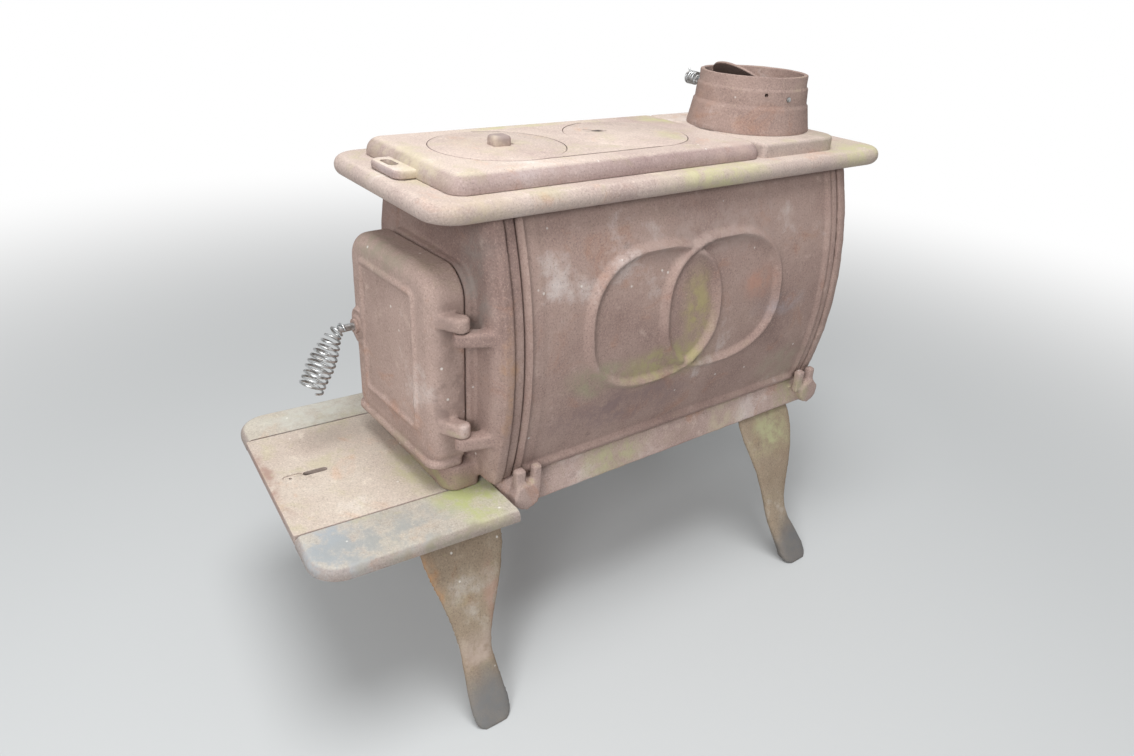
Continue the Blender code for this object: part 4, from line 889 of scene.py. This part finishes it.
oval_field = upright(slab("oval_field", pill(oval_x, oval_low, oval_high, 0.0130), -door_face + 0.0006,
                          -door_face + 0.01))
lip_line = corners_rounded(door_left - 0.002, door_half + 0.001, door_face - 0.003, door_back - 0.004,
                           0.018, 0.006)
lip = slab("door_lip", lip_line, door_low + 0.0004, door_low + 0.009, 0.002, 0.003, 4)
rod_hole = bar("rod_hole", (latch_x, door_face - 0.02, latch_z), (latch_x, door_face + 0.02, latch_z),
               0.0050, 32)
door = shaped(door, (), (dish,))
door = shaped(door, (frame_face,), (frame_field,))
door = shaped(door, (oval,), (oval_field,))
lugs = []
for k, low in enumerate((0.3250, 0.4500)):
    lug_low = low + 0.0166
    lug_line = pill_between(hinge_x, hinge_y, door_half - 0.006, hinge_y - 0.012, 0.009)
    lug = slab(f"door_lug_{k}", lug_line, lug_low, lug_low + 0.016, 0.0015, 0.003, 4)
    trim = block(f"lug_trim_{k}", (0.06, -0.36, lug_low - 0.001),
                 (door_half - door_wall, -0.28, lug_low + 0.017))
    lug = shaped(lug, (), (trim,))
    pin = bar(f"hinge_pin_{k}", (hinge_x, hinge_y, low + 0.001), (hinge_x, hinge_y, lug_low + 0.004),
              0.004, 24)
    lugs += [lug, pin]
door = shaped(door, (boss, lip, *lugs), (rod_hole,))
door = recast(door, 0.0018, 3)
uneven(door, 0.0003, 0.00015, 30.0)
door.data.transform(door_place)
door_tones = ((0.29, 0.205, 0.175), (0.37, 0.27, 0.235), (0.42, 0.31, 0.27), (0.47, 0.36, 0.31))
door_rust = rust("door_rust", door_tones, 0.12, (
    ((-0.02, -0.345, 0.52), (0.11, 0.03, 0.03), (0.30, 0.26, 0.20), 0.8),
    ((0.115, -0.32, 0.349), (0.014, 0.016, 0.010), (0.46, 0.44, 0.26), 0.95),
    ((0.108, -0.315, 0.40), (0.020, 0.040, 0.17), (0.25, 0.180, 0.158), 0.95),
    ((0.0, -0.35, 0.30), (0.11, 0.02, 0.014), (0.33, 0.27, 0.20), 0.7)), flecks=0.6, seed=30.0)
settle(door, "door", ["feed_door"], door_rust, 0)

# Latch: a plated rod through the door with a tongue inside, a washer on the boss, and outside an open
# spring of wire that swells like a pear and stays cool to the hand.
rod_start, rod_end = door_back + 0.039, door_face - 0.026
latch_rod = bar("latch_plated_rod", (latch_x, rod_start, latch_z), (latch_x, rod_end, latch_z), 0.0045, 32)
tongue = block("latch_tongue", (latch_x - 0.004, rod_start - 0.005, latch_z - 0.028),
               (latch_x + 0.004, rod_start - 0.0002, latch_z + 0.004), 0.0012)
latch_rod = shaped(latch_rod, (tongue,))
latch_rod.data.transform(door_place)
settle(latch_rod, "latch", ["latch_rod"], zinc)
washer = bar("latch_steel_washer", (latch_x, door_face - 0.0038, latch_z),
             (latch_x, door_face - 0.0070, latch_z), 0.009, 40)
washer_bore = bar("washer_bore", (latch_x, -0.34, latch_z), (latch_x, -0.37, latch_z), 0.0048, 32)
washer = shaped(washer, (), (washer_bore,))
washer.data.transform(door_place)
settle(washer, "door", ["latch_washer"], door_rust)
grip_turns, grip_steps = 12, 28
lean = math.radians(29)
down_way = Vector((0, -math.sin(lean), -math.cos(lean)))
across = Vector((1, 0, 0))
spot = Vector((latch_x, rod_end + 0.006, latch_z))
grip = []
for k in range(grip_turns * grip_steps + 1):
    part = k / (grip_turns * grip_steps)
    turn = 2 * math.pi * grip_turns * part
    swell = 0.0062 + 0.0095 * math.sin(math.pi * min(1, part * 1.25) / 1.6) ** 1.5
    bend = min(1, part * 5)
    axis = (Vector((0, -1, 0)) * (1 - bend) + down_way * bend).normalized()
    if k:
        spot = spot + axis * (0.085 / (grip_turns * grip_steps))
    grip.append(tuple(spot + (across * math.cos(turn) + axis.cross(across) * math.sin(turn)) * swell))
spring = wire("latch_spring_grip", grip, 0.0014, 3)
spring.data.transform(door_place)
settle(spring, "latch", ["latch_grip"], zinc, 60)

# Legs: four iron castings with a broad knee that narrows to the ankle and turns out into a foot. Each
# is bolted under the bottom plate.
leg_tones = ((0.185, 0.130, 0.093), (0.255, 0.190, 0.135), (0.30, 0.238, 0.175), (0.35, 0.290, 0.220))
leg_rust = rust("leg_rust", leg_tones, 0.4, (
    ((0.21, -0.3285, 0.020), (0.06, 0.06, 0.068), (0.16, 0.16, 0.16), 0.97),
    ((0.21, 0.2155, 0.022), (0.06, 0.06, 0.075), (0.14, 0.14, 0.143), 0.97),
    ((-0.21, -0.3285, 0.020), (0.06, 0.06, 0.068), (0.16, 0.16, 0.16), 0.97),
    ((-0.21, 0.2155, 0.022), (0.06, 0.06, 0.075), (0.14, 0.14, 0.143), 0.97),
    ((0.14, -0.375, 0.17), (0.04, 0.016, 0.08), (0.42, 0.22, 0.10), 0.8),
    ((0.16, -0.30, 0.13), (0.04, 0.02, 0.08), (0.36, 0.22, 0.17), 0.7),
    ((0.14, 0.20, 0.20), (0.04, 0.05, 0.05), (0.38, 0.38, 0.22), 0.8),
    ((0.19, -0.33, 0.09), (0.04, 0.04, 0.03), (0.45, 0.36, 0.31), 0.7)), flecks=0.7, seed=33.0)
for side in ("right", "left"):
    for end in ("front", "rear"):
        leg = recast(from_node(f"{side}_{end}_leg", f"{side}_{end}_leg_casting"), 0.0024, 5)
        uneven(leg, 0.0004, 0.00015, 33.0 + len(end) + len(side))
        settle(leg, "stove", [f"{side}_{end}_leg"], leg_rust, 0)
        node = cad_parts[f"{side}_{end}_leg_bolt"]
        node.data.materials.clear()
        node.data.materials.append(body_rust)

# The stage: a plain pale floor that the camera and gloss see turn white with distance, two soft
# studio lamps, and the camera at the photo's angle.
floor_paint = bpy.data.materials.new("floor_paint")
floor_paint.use_nodes = True
floor_shader = floor_paint.node_tree.nodes["Principled BSDF"]
floor_shader.inputs["Base Color"].default_value = (0.52, 0.535, 0.54, 1)
floor_shader.inputs["Roughness"].default_value = 0.8
tree = floor_paint.node_tree
place = tree.nodes.new("ShaderNodeTexCoord")
reach = tree.nodes.new("ShaderNodeVectorMath")
reach.operation = "LENGTH"
tree.links.new(place.outputs["Object"], reach.inputs[0])
fade = tree.nodes.new("ShaderNodeMapRange")
fade.interpolation_type = "SMOOTHSTEP"
fade.inputs["From Min"].default_value = 0.75
fade.inputs["From Max"].default_value = 2.6
tree.links.new(reach.outputs["Value"], fade.inputs["Value"])
path = tree.nodes.new("ShaderNodeLightPath")
looked_at = path.outputs["Is Camera Ray"]
for ray in ("Is Glossy Ray", "Is Transmission Ray"):
    either = tree.nodes.new("ShaderNodeMath")
    either.operation = "MAXIMUM"
    tree.links.new(looked_at, either.inputs[0])
    tree.links.new(path.outputs[ray], either.inputs[1])
    looked_at = either.outputs[0]
seen = tree.nodes.new("ShaderNodeMath")
seen.operation = "MULTIPLY"
tree.links.new(fade.outputs["Result"], seen.inputs[0])
tree.links.new(looked_at, seen.inputs[1])
white = tree.nodes.new("ShaderNodeEmission")
white.inputs["Color"].default_value = (1, 1, 1, 1)
white.inputs["Strength"].default_value = 1.0
both = tree.nodes.new("ShaderNodeMixShader")
tree.links.new(seen.outputs[0], both.inputs[0])
tree.links.new(floor_shader.outputs[0], both.inputs[1])
tree.links.new(white.outputs[0], both.inputs[2])
tree.links.new(both.outputs[0], tree.nodes["Material Output"].inputs["Surface"])
bpy.ops.mesh.primitive_plane_add(size=400, location=(0, 0, 0))
floor = bpy.context.object
floor.name = "studio_floor"
floor.data.materials.append(floor_paint)

world = bpy.data.worlds.new("studio")
bpy.context.scene.world = world
world.use_nodes = True
world.node_tree.nodes["Background"].inputs["Color"].default_value = (1, 1, 1, 1)
world.node_tree.nodes["Background"].inputs["Strength"].default_value = 0.46


def lamp(name, place, aim, size, power):
    light = bpy.data.lights.new(name, "AREA")
    light.shape = "DISK"
    light.size = size
    light.energy = power
    made = bpy.data.objects.new(name, light)
    made.location = place
    made.rotation_euler = (Vector(aim) - Vector(place)).to_track_quat("-Z", "Y").to_euler()
    bpy.context.scene.collection.objects.link(made)


lamp("overhead_softbox", (0.45, -0.4, 2.7), (0, 0, 0.4), 1.4, 50)
lamp("front_softbox", (1.5, -1.9, 1.5), (0, 0, 0.35), 1.0, 35)

view = bpy.data.cameras.new("photo_view")
view.sensor_width = 36
view.lens = 25.42
camera = bpy.data.objects.new("photo_view", view)
camera.matrix_world = (Matrix.Translation((0.7756, -0.6773 + stove_y, 0.8062))
                       @ Matrix.Rotation(math.radians(52.62), 4, "Z")
                       @ Matrix.Rotation(math.radians(90 - 27.43), 4, "X")
                       @ Matrix.Rotation(math.radians(3.21), 4, "Z"))
bpy.context.scene.collection.objects.link(camera)
bpy.context.scene.camera = camera
bpy.context.scene.view_settings.view_transform = "Standard"

bpy.context.view_layer.update()
